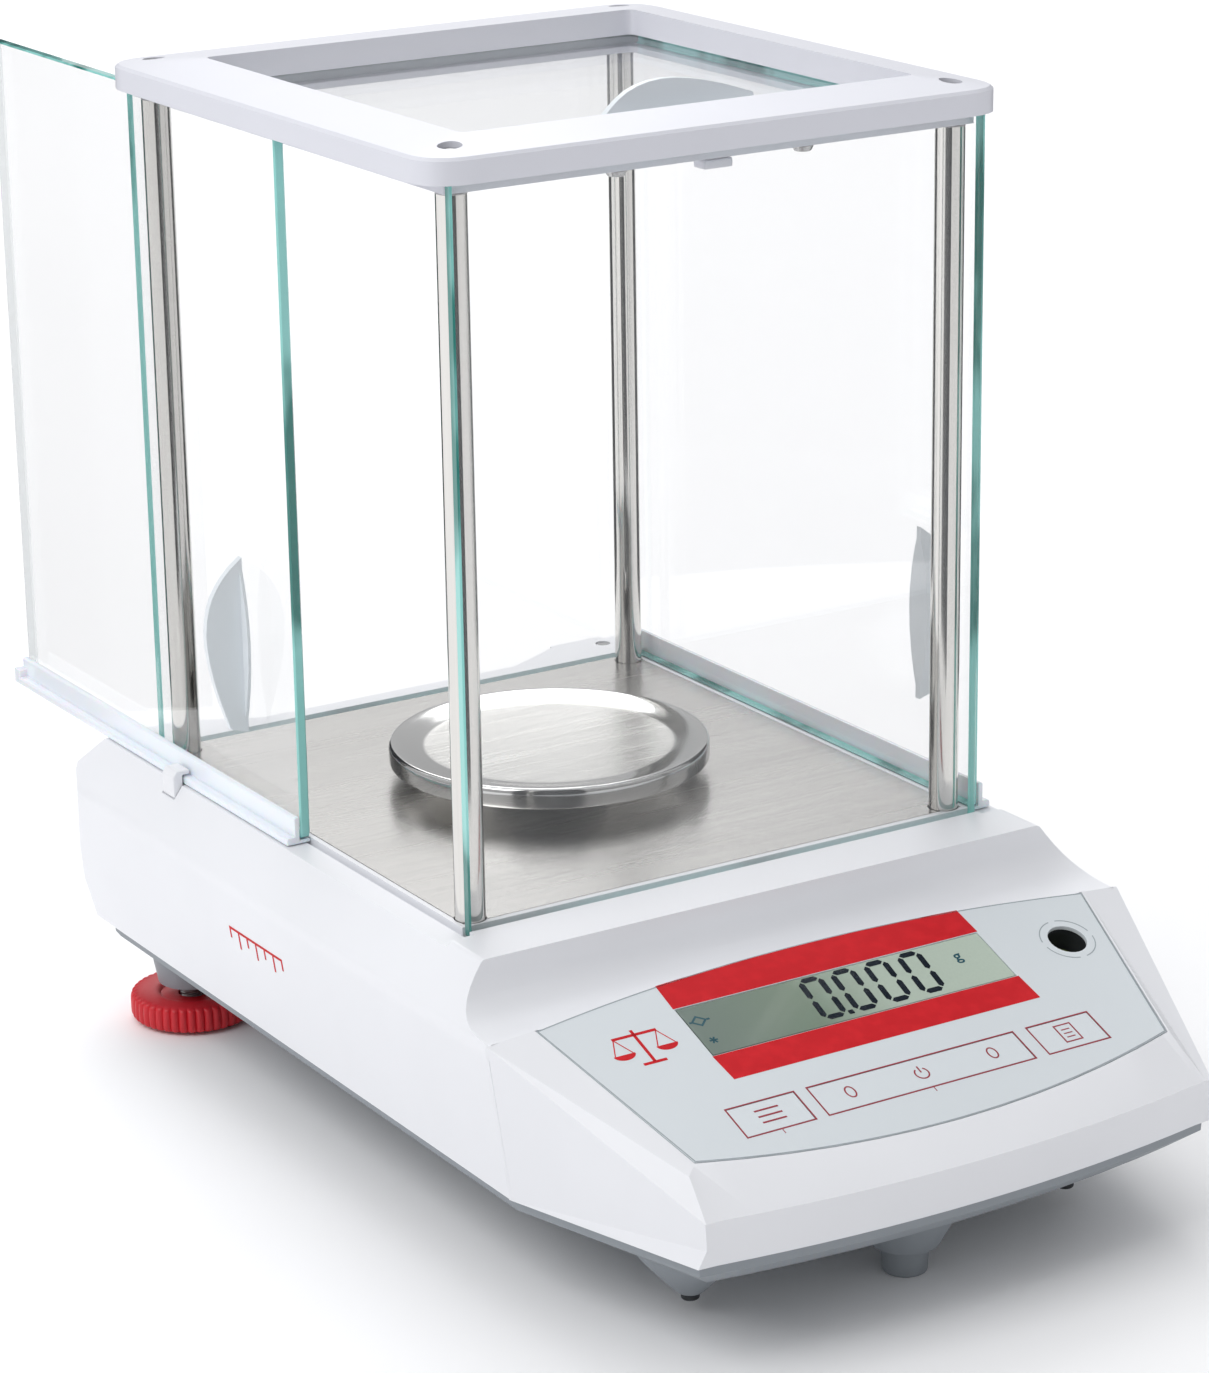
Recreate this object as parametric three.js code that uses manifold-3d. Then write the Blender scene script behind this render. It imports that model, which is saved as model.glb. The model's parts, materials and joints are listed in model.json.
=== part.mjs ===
// Analytical balance with a glass draught shield: three sliding doors, a round
// weighing pan, a sloped keypad panel and three-point levelling feet.
//
// Working axes (mm): X to the right, Y to the back, Z up. The working origin is the
// centre of the chamber floor plate's upper face. The last lines move the whole
// assembly so that its origin is the centre of its footprint, on the table.

import * as THREE from 'three';
import { mergeVertices } from 'three/addons/utils/BufferGeometryUtils.js';
import Module from 'manifold-3d';

const wasm = await Module();
wasm.setup();

// ---------------------------------------------------------------- driving sizes

const GAP = 0.3; // clearance between pieces that touch
const TABLE_Z = -84; // table surface below the chamber floor plate
const GLASS = 3; // pane thickness
const WALL = 2.6; // moulded wall thickness

// housing
const SIDE_X = 98; // widest line of the housing
const SIDE_Z = -15;
const DECK_X = 87; // half width of the deck around the chamber
const DECK_FRONT_Y = -107;
const DECK_BACK_Y = 106;
const BACK_Y = 119.5; // widest line of the back
const BACK_LOW_Z = -32; // where the back begins to draw in again
const BACK_SKIRT_Y = 110.5;
const SKIRT_X = 92; // half width at the lower edge
const SKIRT_Z = -56.5;
const SCOOP_Z = -14; // depth of the trough in front of the chamber
const PANEL_Y = -127.4; // where the sides begin to draw in
const NOSE_X = 77.4; // front upper corner of the nose
const NOSE_Y = -192.2;
const NOSE_Z = -41.2;
const NOSE_SKIRT_X = 78.2;
const NOSE_SKIRT_Z = -53.4;
const NOSE_BOW = 7.4; // how far the nose bows forward at its middle

// keypad panel: a plane that slopes down to the front
const PANEL_TILT = THREE.MathUtils.degToRad(20.1);
const PANEL_ORIGIN = new THREE.Vector3(0, -180.4, -31.1);
const PANEL_LOW_X = 72.1; // half width at the panel's front corners
const PANEL_HIGH_X = 84.7; // half width at the panel's back corners
const PANEL_DEPTH = 55; // along the slope, corner to corner
const PANEL_FRONT_BOW = 9.3;
const PANEL_BACK_BOW = 7;
const FILM = 1.2; // keypad film and its backing plate
const BAND_X = 47; // display window half width
const WINDOW_LOW = 32;
const WINDOW_HIGH = 50.5;
const KEY_LOW = 3;
const KEY_HIGH = 13.7;
const KEYS = [
  ['key_unit', -55, -34.8],
  ['key_zero_tare', -31, 32.5],
  ['key_print', 36.7, 56.2],
];
const LEVEL_X = 69.2;
const LEVEL_V = 40;
const LEVEL_R = 5.3;

// chamber
const PILLAR_X = 74.8;
const PILLAR_Y = 80.3;
const PILLAR_R = 4;
const PILLAR_TOP = 188;
const PLATE_X = 78.3;
const PLATE_FRONT = -83;
const PLATE_BACK = 84.9;
const PLATE_T = 1.2;
const FRONT_PANE_Y = -88.5; // outer face of the front pane
const REAR_PANE_Y = 88.5; // outer face of the rear pane
const PANE_X = 79.7; // half width of front and rear panes
const PANE_TOP = 193.2;
const PANE_FOOT = -2.5;
const DOOR_INNER_X = 80;
const DOOR_FRONT = -85;
const DOOR_LENGTH = 174;
const DOOR_TOP = 193;
const LEFT_DOOR_OPEN = 81; // the left door stands open by this much
const LEDGE_Z = -1.5; // ledge that the door rails run on
const CLIP_Y = 57.5; // front end of the clips that hold the rails down
const CLIP_LENGTH = 7;

// top frame
const FRAME_X = 86.5;
const FRAME_FRONT = -90.5;
const FRAME_BACK = 89;
const FRAME_R = 12.5;
const FRAME_LOW = 191.3;
const FRAME_CREASE = 198;
const FRAME_TOP = 200.6;
const HATCH_X = 68;
const HATCH_FRONT = -74;
const HATCH_BACK = 63;
const HATCH_R = 2.5;
const GROOVE = 3.6; // how far the top door reaches into the beams
const TOP_PANE_LOW = 190.3;
const TOP_PANE_BACK = 66;
const GUIDE_LOW = 188.3;

// pan
const PAN_R = 45;
const PAN_Y = 3.5;
const PAN_TOP = 11.3;

// screws that hold the frame on the pillars
const SCREW_HEAD_R = 2.75;
const SCREW_R = 1.5;
const SCREW_HOLE_R = 1.8;
const SCREW_SINK_R = 3.1;

// feet
const WHEEL_X = 73.4;
const WHEEL_Y = 87;
const WHEEL_R = 18.4;
const WHEEL_LOW = -83.2;
const WHEEL_HIGH = -75.5;
const BOSS_LOW = -72.5;
const FLOOR_Z = -62; // underside of the lower casing
const FRONT_FOOT_Y = -166.7;
const PIN_X = 58.7;
const PIN_Y = -157;
const PIN_LOW = -80;

// back bay with the sockets
const BAY_Y = 94.5;
const BAY_X = 43;
const BAY_TURN = [62, 104]; // where the bay's side turns towards its mouth
const BAY_MOUTH = [70, 127.5];
const SOCKET_Z = -36;
const DC_X = 24;
const SERIAL_X = -14;

// ---------------------------------------------------------------- materials

const finish = (color, roughness, metalness, extra = {}) =>
  new THREE.MeshStandardMaterial({ color, roughness, metalness, ...extra });

const WHITE = finish(0xe9ebf0, 0.45, 0);
const FRAME_WHITE = finish(0xdfe1ea, 0.5, 0);
const CASING_GREY = finish(0x8f979d, 0.6, 0);
const FILM_GREY = finish(0xd7dfe2, 0.5, 0);
const KEY_WHITE = finish(0xdce3e6, 0.5, 0);
const HANDLE_GREY = finish(0xc9cfd6, 0.5, 0);
const RED = finish(0xc8202b, 0.5, 0);
const STEEL = finish(0xb9b9b7, 0.3, 1);
const POLISHED = finish(0xd0d0cf, 0.12, 1);
const PANE = finish(0xd5ece8, 0.05, 0, { transparent: true, opacity: 0.3 });
const LCD_GREY = finish(0x9aa79c, 0.3, 0);
const BLACK = finish(0x26282c, 0.6, 0);
const RUBBER = finish(0x33363b, 0.9, 0);
const BOARD = finish(0x2e6b45, 0.6, 0);
const ALLOY = finish(0xb4b8bb, 0.45, 1);
const LIQUID = finish(0xc9dc86, 0.1, 0, { transparent: true, opacity: 0.5 });

// ---------------------------------------------------------------- shape helpers

/** Closed triangle mesh to boolean solid. */
function solid(geometry) {
  const bare = geometry.clone();
  bare.deleteAttribute('normal');
  bare.deleteAttribute('uv');
  const welded = mergeVertices(bare, 1e-4);
  const vertProperties = new Float32Array(welded.attributes.position.array);
  const triVerts = new Uint32Array(welded.index.array);
  return new wasm.Manifold(new wasm.Mesh({ numProp: 3, vertProperties, triVerts }));
}

/** Boolean solid back to a mesh geometry, without the specks that a cut can leave. */
function geometryOf(body) {
  const main = body.decompose().reduce((a, b) => (a.volume() > b.volume() ? a : b));
  const { vertProperties, triVerts, numProp } = main.getMesh();
  const geometry = new THREE.BufferGeometry();
  const positions = new Float32Array((vertProperties.length / numProp) * 3);
  for (let i = 0; i < positions.length / 3; i++) {
    positions.set(vertProperties.subarray(i * numProp, i * numProp + 3), i * 3);
  }
  geometry.setAttribute('position', new THREE.BufferAttribute(positions, 3));
  geometry.setIndex(new THREE.BufferAttribute(new Uint32Array(triVerts), 1));
  geometry.computeVertexNormals();
  return geometry;
}

/** Box between two opposite corners. */
function block(x0, x1, y0, y1, z0, z1) {
  const geometry = new THREE.BoxGeometry(x1 - x0, y1 - y0, z1 - z0);
  return geometry.translate((x0 + x1) / 2, (y0 + y1) / 2, (z0 + z1) / 2);
}

/** Upright round bar; two radii make a cone. */
function bar(x, y, z0, z1, lowR, highR = lowR, sides = 28) {
  const geometry = new THREE.CylinderGeometry(highR, lowR, z1 - z0, sides);
  return geometry.rotateX(Math.PI / 2).translate(x, y, (z0 + z1) / 2);
}

/** Round bar along Y. */
function barAlongY(x, z, y0, y1, radius, sides = 24) {
  const geometry = new THREE.CylinderGeometry(radius, radius, y1 - y0, sides);
  return geometry.translate(x, (y0 + y1) / 2, z);
}

/** Outline in X and Y, pulled up from z0 to z1. */
function prism(points, z0, z1) {
  const shape = new THREE.Shape(points.map(([x, y]) => new THREE.Vector2(x, y)));
  const geometry = new THREE.ExtrudeGeometry(shape, { depth: z1 - z0, bevelEnabled: false });
  return geometry.translate(0, 0, z0);
}

/** Outline in X and Z, pulled from y0 to y1. */
function prismAlongY(points, y0, y1) {
  return prism(points, -y1, -y0).rotateX(Math.PI / 2);
}

/** Corner points replaced by arcs; one radius for all or one for each corner. */
function rounded(points, radius, steps = 4) {
  const out = [];
  points.forEach((point, i) => {
    const r = Array.isArray(radius) ? radius[i] : radius;
    const here = new THREE.Vector2(...point);
    const before = new THREE.Vector2(...points[(i + points.length - 1) % points.length]).sub(here);
    const after = new THREE.Vector2(...points[(i + 1) % points.length]).sub(here);
    if (r === 0) {
      out.push(point);
      return;
    }
    const half = Math.acos(before.clone().normalize().dot(after.clone().normalize())) / 2;
    const cut = r / Math.tan(half);
    const start = before.setLength(cut).add(here);
    const end = after.setLength(cut).add(here);
    const curve = new THREE.QuadraticBezierCurve(start, here, end);
    curve.getPoints(steps).forEach((p) => out.push([p.x, p.y]));
  });
  return out;
}

/** Rectangle outline centred on X = 0, with round corners. */
function roundedBox(halfX, y0, y1, radius, steps = 4) {
  return rounded([[-halfX, y0], [halfX, y0], [halfX, y1], [-halfX, y1]], radius, steps);
}

/** Six times the signed volume inside a closed triangle mesh. */
function signedVolume(geometry) {
  const at = (k) => new THREE.Vector3().fromBufferAttribute(geometry.attributes.position, k);
  const index = geometry.index.array;
  let sum = 0;
  for (let i = 0; i < index.length; i += 3) {
    sum += at(index[i]).dot(at(index[i + 1]).cross(at(index[i + 2])));
  }
  return sum;
}

/** Skin over a row of closed sections with equal point counts, with flat ends. */
function loft(sections) {
  const count = sections[0].length;
  const positions = sections.flat().flatMap((p) => [p.x, p.y, p.z]);
  const index = [];
  for (let s = 0; s + 1 < sections.length; s++) {
    for (let i = 0; i < count; i++) {
      const a = s * count + i;
      const b = s * count + ((i + 1) % count);
      index.push(a, b, b + count, a, b + count, a + count);
    }
  }
  const size = new THREE.Box3().setFromPoints(sections[0]).getSize(new THREE.Vector3());
  const flat = ['x', 'y', 'z'].reduce((a, b) => (size[a] <= size[b] ? a : b));
  const [across, up] = { x: ['y', 'z'], y: ['z', 'x'], z: ['x', 'y'] }[flat];
  const contour = sections[0].map((p) => new THREE.Vector2(p[across], p[up]));
  const last = (sections.length - 1) * count;
  const contourTurns = THREE.ShapeUtils.isClockWise(contour);
  THREE.ShapeUtils.triangulateShape(contour, []).forEach((face) => {
    const faceTurns = THREE.ShapeUtils.isClockWise(face.map((k) => contour[k]));
    const [p, q, r] = faceTurns === contourTurns ? face : [...face].reverse();
    index.push(r, q, p, last + p, last + q, last + r);
  });
  const geometry = new THREE.BufferGeometry();
  geometry.setAttribute('position', new THREE.Float32BufferAttribute(positions, 3));
  geometry.setIndex(index);
  if (signedVolume(geometry) < 0) geometry.setIndex(index.reverse());
  geometry.computeVertexNormals();
  return geometry;
}

/** Solid of revolution about an upright axis; the outline is (radius, height). */
function turned(outline, x, y, sides = 48) {
  const geometry = new THREE.LatheGeometry(outline.map(([r, z]) => new THREE.Vector2(r, z)), sides);
  return geometry.rotateX(Math.PI / 2).translate(x, y, 0);
}

/** First geometry with the others cut away. */
function cut(geometry, ...tools) {
  return geometryOf(tools.reduce((body, tool) => body.subtract(solid(tool)), solid(geometry)));
}

/** Geometries joined into one. */
function join(...geometries) {
  return geometryOf(geometries.map(solid).reduce((a, b) => a.add(b)));
}

const assembly = new THREE.Group();
const panel = new THREE.Group();
panel.rotation.x = PANEL_TILT;
panel.position.copy(PANEL_ORIGIN);
assembly.add(panel);

/** Adds one named piece to a group. */
function piece(name, geometry, material, parent = assembly) {
  const mesh = new THREE.Mesh(geometry, material);
  mesh.name = name;
  parent.add(mesh);
}

/** Moves geometry from the panel's own axes to the working axes. */
function fromPanel(geometry) {
  return geometry.rotateX(PANEL_TILT).translate(...PANEL_ORIGIN.toArray());
}

// ---------------------------------------------------------------- housing shape

const slope = Math.tan(PANEL_TILT);
const panelZ = (y) => PANEL_ORIGIN.z + (y - PANEL_ORIGIN.y) * slope;

/** Half widths and heights of the nose at a distance y, straight from PANEL_Y to NOSE_Y. */
function noseSection(y, inset) {
  const t = (y - PANEL_Y) / (NOSE_Y - PANEL_Y);
  const mix = (a, b) => a + (b - a) * t;
  const taper = (PANEL_HIGH_X - PANEL_LOW_X) / (PANEL_DEPTH * Math.cos(PANEL_TILT));
  const flatX = PANEL_LOW_X + 0.8 + (y - PANEL_ORIGIN.y) * taper - inset;
  const top = panelZ(y) - inset * 1.6;
  const creaseX = mix(SIDE_X, NOSE_X) - inset;
  const creaseZ = Math.min(mix(SCOOP_Z, NOSE_Z), top - 1) - inset * 0.3;
  const skirtX = mix(SKIRT_X, NOSE_SKIRT_X) - inset;
  const skirtZ = mix(SKIRT_Z, NOSE_SKIRT_Z) - (inset > 0 ? 6 : 0);
  const half = [[flatX, top], [creaseX, creaseZ], [skirtX, skirtZ]];
  const other = half.map(([x, z]) => [-x, z]).reverse();
  return [...half, ...other].map(([x, z]) => new THREE.Vector3(x, y, z));
}

/** Tool that shapes the nose's bowed front: its bevel and its upright face. */
function noseTool(inset) {
  const sections = [];
  for (let i = 0; i <= 24; i++) {
    const x = -110 + (220 * i) / 24;
    const bow = 1 - Math.min(1, (x / NOSE_X) ** 2);
    const panelBow = 1 - Math.min(1, (x / PANEL_LOW_X) ** 2);
    const edgeY = PANEL_ORIGIN.y - 0.8 - PANEL_FRONT_BOW * Math.cos(PANEL_TILT) * panelBow;
    const edge = [edgeY + inset, panelZ(edgeY) - inset * 0.3];
    const crest = [NOSE_Y - NOSE_BOW * bow + inset, NOSE_Z];
    const ray = [edge[0] - crest[0], edge[1] - crest[1]];
    const outline = [
      [edge[0] + ray[0] * 2, edge[1] + ray[1] * 2],
      crest,
      [crest[0] + 3, NOSE_SKIRT_Z - 14],
      [-260, NOSE_SKIRT_Z - 14],
      [-260, edge[1] + ray[1] * 2],
    ];
    sections.push(outline.map(([y, z]) => new THREE.Vector3(x, y, z)));
  }
  return loft(sections);
}

/** Tool that cuts the trough between the deck and the keypad panel. */
function scoopTool(inset) {
  const sections = [];
  for (let i = 0; i <= 16; i++) {
    const x = -110 + (220 * i) / 16;
    const bow = 1 - Math.min(1, (x / PANEL_HIGH_X) ** 2);
    const lipY = PANEL_Y - 1.3 + PANEL_BACK_BOW * bow * Math.cos(PANEL_TILT);
    const lip = [lipY - inset, panelZ(lipY) - inset];
    const start = new THREE.Vector2(DECK_FRONT_Y + inset, 0);
    const trough = new THREE.Vector2(Math.min(lipY + 2, -113), SCOOP_Z - inset);
    const curve = new THREE.CubicBezierCurve(
      start,
      new THREE.Vector2(DECK_FRONT_Y - 0.6 + inset, -9),
      new THREE.Vector2(DECK_FRONT_Y - 4.5 + inset, SCOOP_Z - inset),
      trough,
    );
    const outline = curve.getPoints(8).map((p) => [p.x, p.y]);
    const run = 7.5;
    const above = [lip[0] - run, lip[1] - run * slope + 0.02];
    outline.push(lip, above, [above[0], 12], [DECK_FRONT_Y + inset, 12]);
    sections.push(outline.map(([y, z]) => new THREE.Vector3(x, y, z)));
  }
  return loft(sections);
}

/** The housing's outer shape, or the same shape drawn in by a wall thickness. */
function housingShape(inset) {
  const drop = inset > 0 ? 6 : 0;
  const ring = rounded(
    [
      [SKIRT_X - inset, SKIRT_Z - drop],
      [SIDE_X - inset, SIDE_Z - inset * 0.3],
      [DECK_X - inset, -inset],
      [-DECK_X + inset, -inset],
      [-SIDE_X + inset, SIDE_Z - inset * 0.3],
      [-SKIRT_X + inset, SKIRT_Z - drop],
    ],
    [0, 7, 2.2, 2.2, 7, 0],
    3,
  );
  const rear = prismAlongY(ring, PANEL_Y, BACK_Y - inset);
  const nose = loft([noseSection(PANEL_Y + 1, inset), noseSection(NOSE_Y - 14, inset)]);
  const plan = prism(
    rounded(
      [
        [-SIDE_X + inset, BACK_Y - inset],
        [-SIDE_X + inset, -230],
        [SIDE_X - inset, -230],
        [SIDE_X - inset, BACK_Y - inset],
      ],
      [18, 0, 0, 18],
      5,
    ),
    -80,
    20,
  );
  const profile = rounded(
    [
      [-230, -80],
      [BACK_SKIRT_Y - inset, -80],
      [BACK_SKIRT_Y - inset, SKIRT_Z - drop],
      [BACK_Y - inset, BACK_LOW_Z],
      [BACK_Y - inset, SIDE_Z - inset * 0.3],
      [DECK_BACK_Y - inset, -inset],
      [-230, -inset],
    ],
    [0, 0, 0, 8, 8, 2.2, 0],
    3,
  );
  const bayHalf = [[BAY_X, BAY_Y - inset], [BAY_TURN[0], BAY_TURN[1] - inset], BAY_MOUTH]
    .map(([x, y]) => [x + inset, y]);
  const bayOther = bayHalf.map(([x, y]) => [-x, y]).reverse();
  const bay = prism([...bayOther, ...bayHalf], -80, 20);
  const whole = solid(rear).add(solid(nose)).intersect(solid(plan));
  const drawn = whole.intersect(solid(prismAlongX(profile, -120, 120)));
  const shaped = drawn.subtract(solid(bay)).subtract(solid(noseTool(inset)));
  return geometryOf(shaped.subtract(solid(scoopTool(inset))));
}

/** The keypad film's outline, in the panel's own axes, grown by a margin. */
function panelOutline(margin) {
  const lowX = PANEL_LOW_X + margin;
  const highX = PANEL_HIGH_X + margin;
  const points = [];
  const steps = 12;
  for (let i = 0; i <= steps; i++) {
    const s = -1 + (2 * i) / steps;
    points.push([lowX * s, -margin - PANEL_FRONT_BOW * (1 - s * s)]);
  }
  for (let i = 0; i <= steps; i++) {
    const s = 1 - (2 * i) / steps;
    points.push([highX * s, PANEL_DEPTH + margin + PANEL_BACK_BOW * (1 - s * s)]);
  }
  return points;
}

/** Outline moved inwards by a distance, corner by corner; the outline runs anticlockwise. */
function drawnIn(points, distance) {
  return points.map(([x, y], i) => {
    const [ax, ay] = points[(i + points.length - 1) % points.length];
    const [bx, by] = points[(i + 1) % points.length];
    const first = new THREE.Vector2(x - ax, y - ay).normalize();
    const second = new THREE.Vector2(bx - x, by - y).normalize();
    const normal = new THREE.Vector2(-first.y - second.y, first.x + second.x).normalize();
    const mitre = distance / Math.max(0.4, normal.dot(new THREE.Vector2(-first.y, first.x)));
    return [x + normal.x * mitre, y + normal.y * mitre];
  });
}

/** Plan of the housing's lower edge, anticlockwise from the nose's left corner. */
function skirtPlan() {
  const front = [];
  for (let i = 0; i <= 10; i++) {
    const s = -1 + i / 5;
    front.push([NOSE_SKIRT_X * s, NOSE_Y + 1.4 - NOSE_BOW * (1 - s * s)]);
  }
  const half = [
    [SKIRT_X, PANEL_Y],
    [SKIRT_X, BACK_SKIRT_Y],
    [BAY_TURN[0] + 2.2, BACK_SKIRT_Y],
    [BAY_TURN[0], BAY_TURN[1] - 1],
    [BAY_X, BAY_Y - 1],
  ];
  const other = half.map(([x, y]) => [-x, y]).reverse();
  const back = rounded([...half, ...other], [0, 12, 0, 0, 0, 0, 0, 0, 12, 0], 4);
  return [...front, ...back];
}

/** Height of the housing's lower edge at a distance y. */
function skirtHeight(y) {
  const t = Math.max(0, (PANEL_Y - y) / (PANEL_Y - NOSE_Y));
  return SKIRT_Z + (NOSE_SKIRT_Z - SKIRT_Z) * t;
}

/** Tray shape under the housing, from rings of (draw-in, height at y). */
function trayShape(rings) {
  const plan = skirtPlan();
  const sections = rings.map(([inset, height]) =>
    drawnIn(plan, inset).map(([x, y]) => new THREE.Vector3(x, y, height(y))));
  return loft(sections);
}

// ---------------------------------------------------------------- small helpers

const SIDES = [['left', -1], ['right', 1]];
const ENDS = [['front', -1], ['rear', 1]];

/** Box on one side of the object: x0 and x1 are distances from the middle. */
function sideBlock(side, x0, x1, y0, y1, z0, z1) {
  return side > 0 ? block(x0, x1, y0, y1, z0, z1) : block(-x1, -x0, y0, y1, z0, z1);
}

/** Outline in Y and Z, pulled from x0 to x1. */
function prismAlongX(points, x0, x1) {
  return prism(points, x0, x1).rotateX(Math.PI / 2).rotateZ(Math.PI / 2);
}

/** Outline of a door's finger grip: (distance off the pane, distance along it). */
function gripOutline() {
  const curve = new THREE.SplineCurve(
    [[5.4, 1.6], [9.6, 15], [11.6, 28], [10, 38], [5.4, 45], [0, 49.5]]
      .map(([out, along]) => new THREE.Vector2(out, along)),
  );
  return [[0, 0], ...curve.getPoints(14).map((p) => [p.x, p.y])];
}

/** Outline of the lens-shaped pad between a grip and its pane. */
function padOutline() {
  const top = new THREE.QuadraticBezierCurve(
    new THREE.Vector2(0, 49), new THREE.Vector2(8.5, 26), new THREE.Vector2(0, 0.5));
  const points = top.getPoints(8).map((p) => [p.x, p.y]);
  const mirrored = points.slice(1, -1).map(([x, z]) => [-x, z]).reverse();
  return [...points, ...mirrored];
}

// ---------------------------------------------------------------- base pieces

function topHousing() {
  const hollow = cut(
    housingShape(WALL),
    block(-120, 120, DECK_FRONT_Y + 4, BACK_Y + 5, -5.5, 40),
  );
  const tools = [
    hollow,
    block(-PLATE_X - GAP, PLATE_X + GAP, PLATE_FRONT - GAP, PLATE_BACK + GAP, -PLATE_T - GAP, 9),
    prism(roundedBox(66, -70, 72, 6), -12, 2),
    block(-PANE_X - GAP, PANE_X + GAP, FRONT_PANE_Y - GAP, FRONT_PANE_Y + GLASS + GAP, -2.8, 9),
    block(-PANE_X - GAP, PANE_X + GAP, REAR_PANE_Y - GLASS - GAP, REAR_PANE_Y + GAP, -2.8, 9),
    fromPanel(prism(panelOutline(GAP), -FILM - GAP, 6)),
    fromPanel(block(-50.4, 50.4, 28.6, 53.9, -16, 2)),
    fromPanel(block(-56, 57.2, KEY_LOW - 1, KEY_HIGH + 1, -16, 2)),
    fromPanel(bar(LEVEL_X, LEVEL_V, -16, 2, 7.9)),
    barAlongY(DC_X, SOCKET_Z, BAY_Y - 6, BAY_Y + 3, 7),
    block(SERIAL_X - 9.9, SERIAL_X + 9.9, BAY_Y - 6, BAY_Y + 3, SOCKET_Z - 5.8, SOCKET_Z + 5.8),
  ];
  SIDES.forEach(([, side]) => {
    tools.push(sideBlock(side, DOOR_INNER_X, 120, -91, BACK_Y + 5, LEDGE_Z, 9));
    tools.push(sideBlock(side, DOOR_INNER_X, 81, -91, BACK_Y + 5, LEDGE_Z - 1, 9));
    tools.push(sideBlock(side, 87.3, 91.3, CLIP_Y - GAP, CLIP_Y + CLIP_LENGTH + GAP, -5.2, 9));
    tools.push(bar(side * 77.3, 99, -12, 2, 2.3, 2.3, 16));
    ENDS.forEach(([, end]) => {
      tools.push(bar(side * PILLAR_X, end * PILLAR_Y, -12, 2, PILLAR_R + GAP));
    });
  });
  return cut(housingShape(0), ...tools);
}

function lowerCasing() {
  const shell = trayShape([
    [1, (y) => skirtHeight(y) + 5],
    [1.6, (y) => skirtHeight(y) - 3],
    [9, () => FLOOR_Z],
  ]);
  const hollow = trayShape([
    [3.4, (y) => skirtHeight(y) + 8],
    [4, (y) => skirtHeight(y) - 3.2],
    [10.5, () => FLOOR_Z + WALL],
  ]);
  const endY = NOSE_Y - 20;
  const above = [
    [BACK_Y + 20, SKIRT_Z - GAP],
    [PANEL_Y, SKIRT_Z - GAP],
    [endY, skirtHeight(endY) - GAP],
    [endY, 0],
    [BACK_Y + 20, 0],
  ];
  const bosses = [bar(0, FRONT_FOOT_Y, -76, FLOOR_Z + 3, 9, 18)];
  const tools = [
    hollow,
    prismAlongX(above, -120, 120),
    bar(0, FRONT_FOOT_Y, -77, -69, 3.3),
    bar(0, PAN_Y, FLOOR_Z - 4, FLOOR_Z + 6, 12),
  ];
  SIDES.forEach(([, side]) => {
    bosses.push(bar(side * WHEEL_X, WHEEL_Y, BOSS_LOW, FLOOR_Z + 3, 10, 12.5));
    bosses.push(bar(side * PIN_X, PIN_Y, -74.5, FLOOR_Z + 3, 4.6, 17));
    tools.push(bar(side * WHEEL_X, WHEEL_Y, -74, -58, PILLAR_R + GAP));
    tools.push(bar(side * PIN_X, PIN_Y, -76, -71.7, 2.7));
  });
  return cut(join(shell, ...bosses), ...tools);
}

function floorPlate() {
  const holes = [bar(0, PAN_Y, -5, 5, 11)];
  SIDES.forEach(([, side]) => ENDS.forEach(([, end]) => {
    holes.push(bar(side * PILLAR_X, end * PILLAR_Y, -5, 5, PILLAR_R + GAP));
  }));
  return cut(block(-PLATE_X, PLATE_X, PLATE_FRONT, PLATE_BACK, -PLATE_T, 0), ...holes);
}

function doorClip(side) {
  const outline = [
    [87.6, -4.9], [90.6, -4.9], [90.6, 1.2], [89.4, 2.8], [85.4, 2.8], [85.4, 1.5], [87.6, 1.5],
  ];
  const run = outline.map(([x, z]) => [side * x, z]);
  return prismAlongY(run, CLIP_Y, CLIP_Y + CLIP_LENGTH);
}

// ---------------------------------------------------------------- frame pieces

function frameScrewHoles(low, high) {
  const tools = [];
  SIDES.forEach(([, side]) => ENDS.forEach(([, end]) => {
    const [x, y] = [side * PILLAR_X, end * PILLAR_Y];
    tools.push(bar(x, y, low, high, SCREW_HOLE_R, SCREW_HOLE_R, 16));
  }));
  return tools;
}

function topFrame() {
  const outer = roundedBox(FRAME_X, FRAME_FRONT, FRAME_BACK, FRAME_R, 6);
  const rim = roundedBox(FRAME_X - 0.9, FRAME_FRONT + 0.9, FRAME_BACK - 0.9, FRAME_R - 0.8, 6);
  const inner = roundedBox(HATCH_X, HATCH_FRONT, HATCH_BACK, HATCH_R, 6);
  const at = (points, z) => points.map(([x, y]) => new THREE.Vector3(x, y, z));
  const body = loft([
    at(outer, FRAME_LOW),
    at(outer, FRAME_CREASE - 0.8),
    at(rim, FRAME_CREASE),
    at(inner, FRAME_TOP),
  ]);
  const groove = HATCH_X + GROOVE;
  const tools = [
    prism(inner, FRAME_LOW - 5, FRAME_TOP + 5),
    block(-groove, groove, HATCH_FRONT - GROOVE, FRAME_BACK + 5, FRAME_LOW - 5, 193.4),
    block(-PANE_X - GAP, PANE_X + GAP, FRONT_PANE_Y - GAP, FRONT_PANE_Y + GLASS + GAP, 185, 193.5),
    ...frameScrewHoles(185, 202),
  ];
  SIDES.forEach(([, side]) => {
    const low = DOOR_INNER_X - GAP;
    tools.push(sideBlock(side, low, DOOR_INNER_X + GLASS + GAP, -85.6, FRAME_BACK + 5, 185, 193.5));
    ENDS.forEach(([, end]) => {
      tools.push(bar(side * PILLAR_X, end * PILLAR_Y, 195.6, 205, SCREW_SINK_R));
    });
  });
  return cut(body, ...tools);
}

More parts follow.
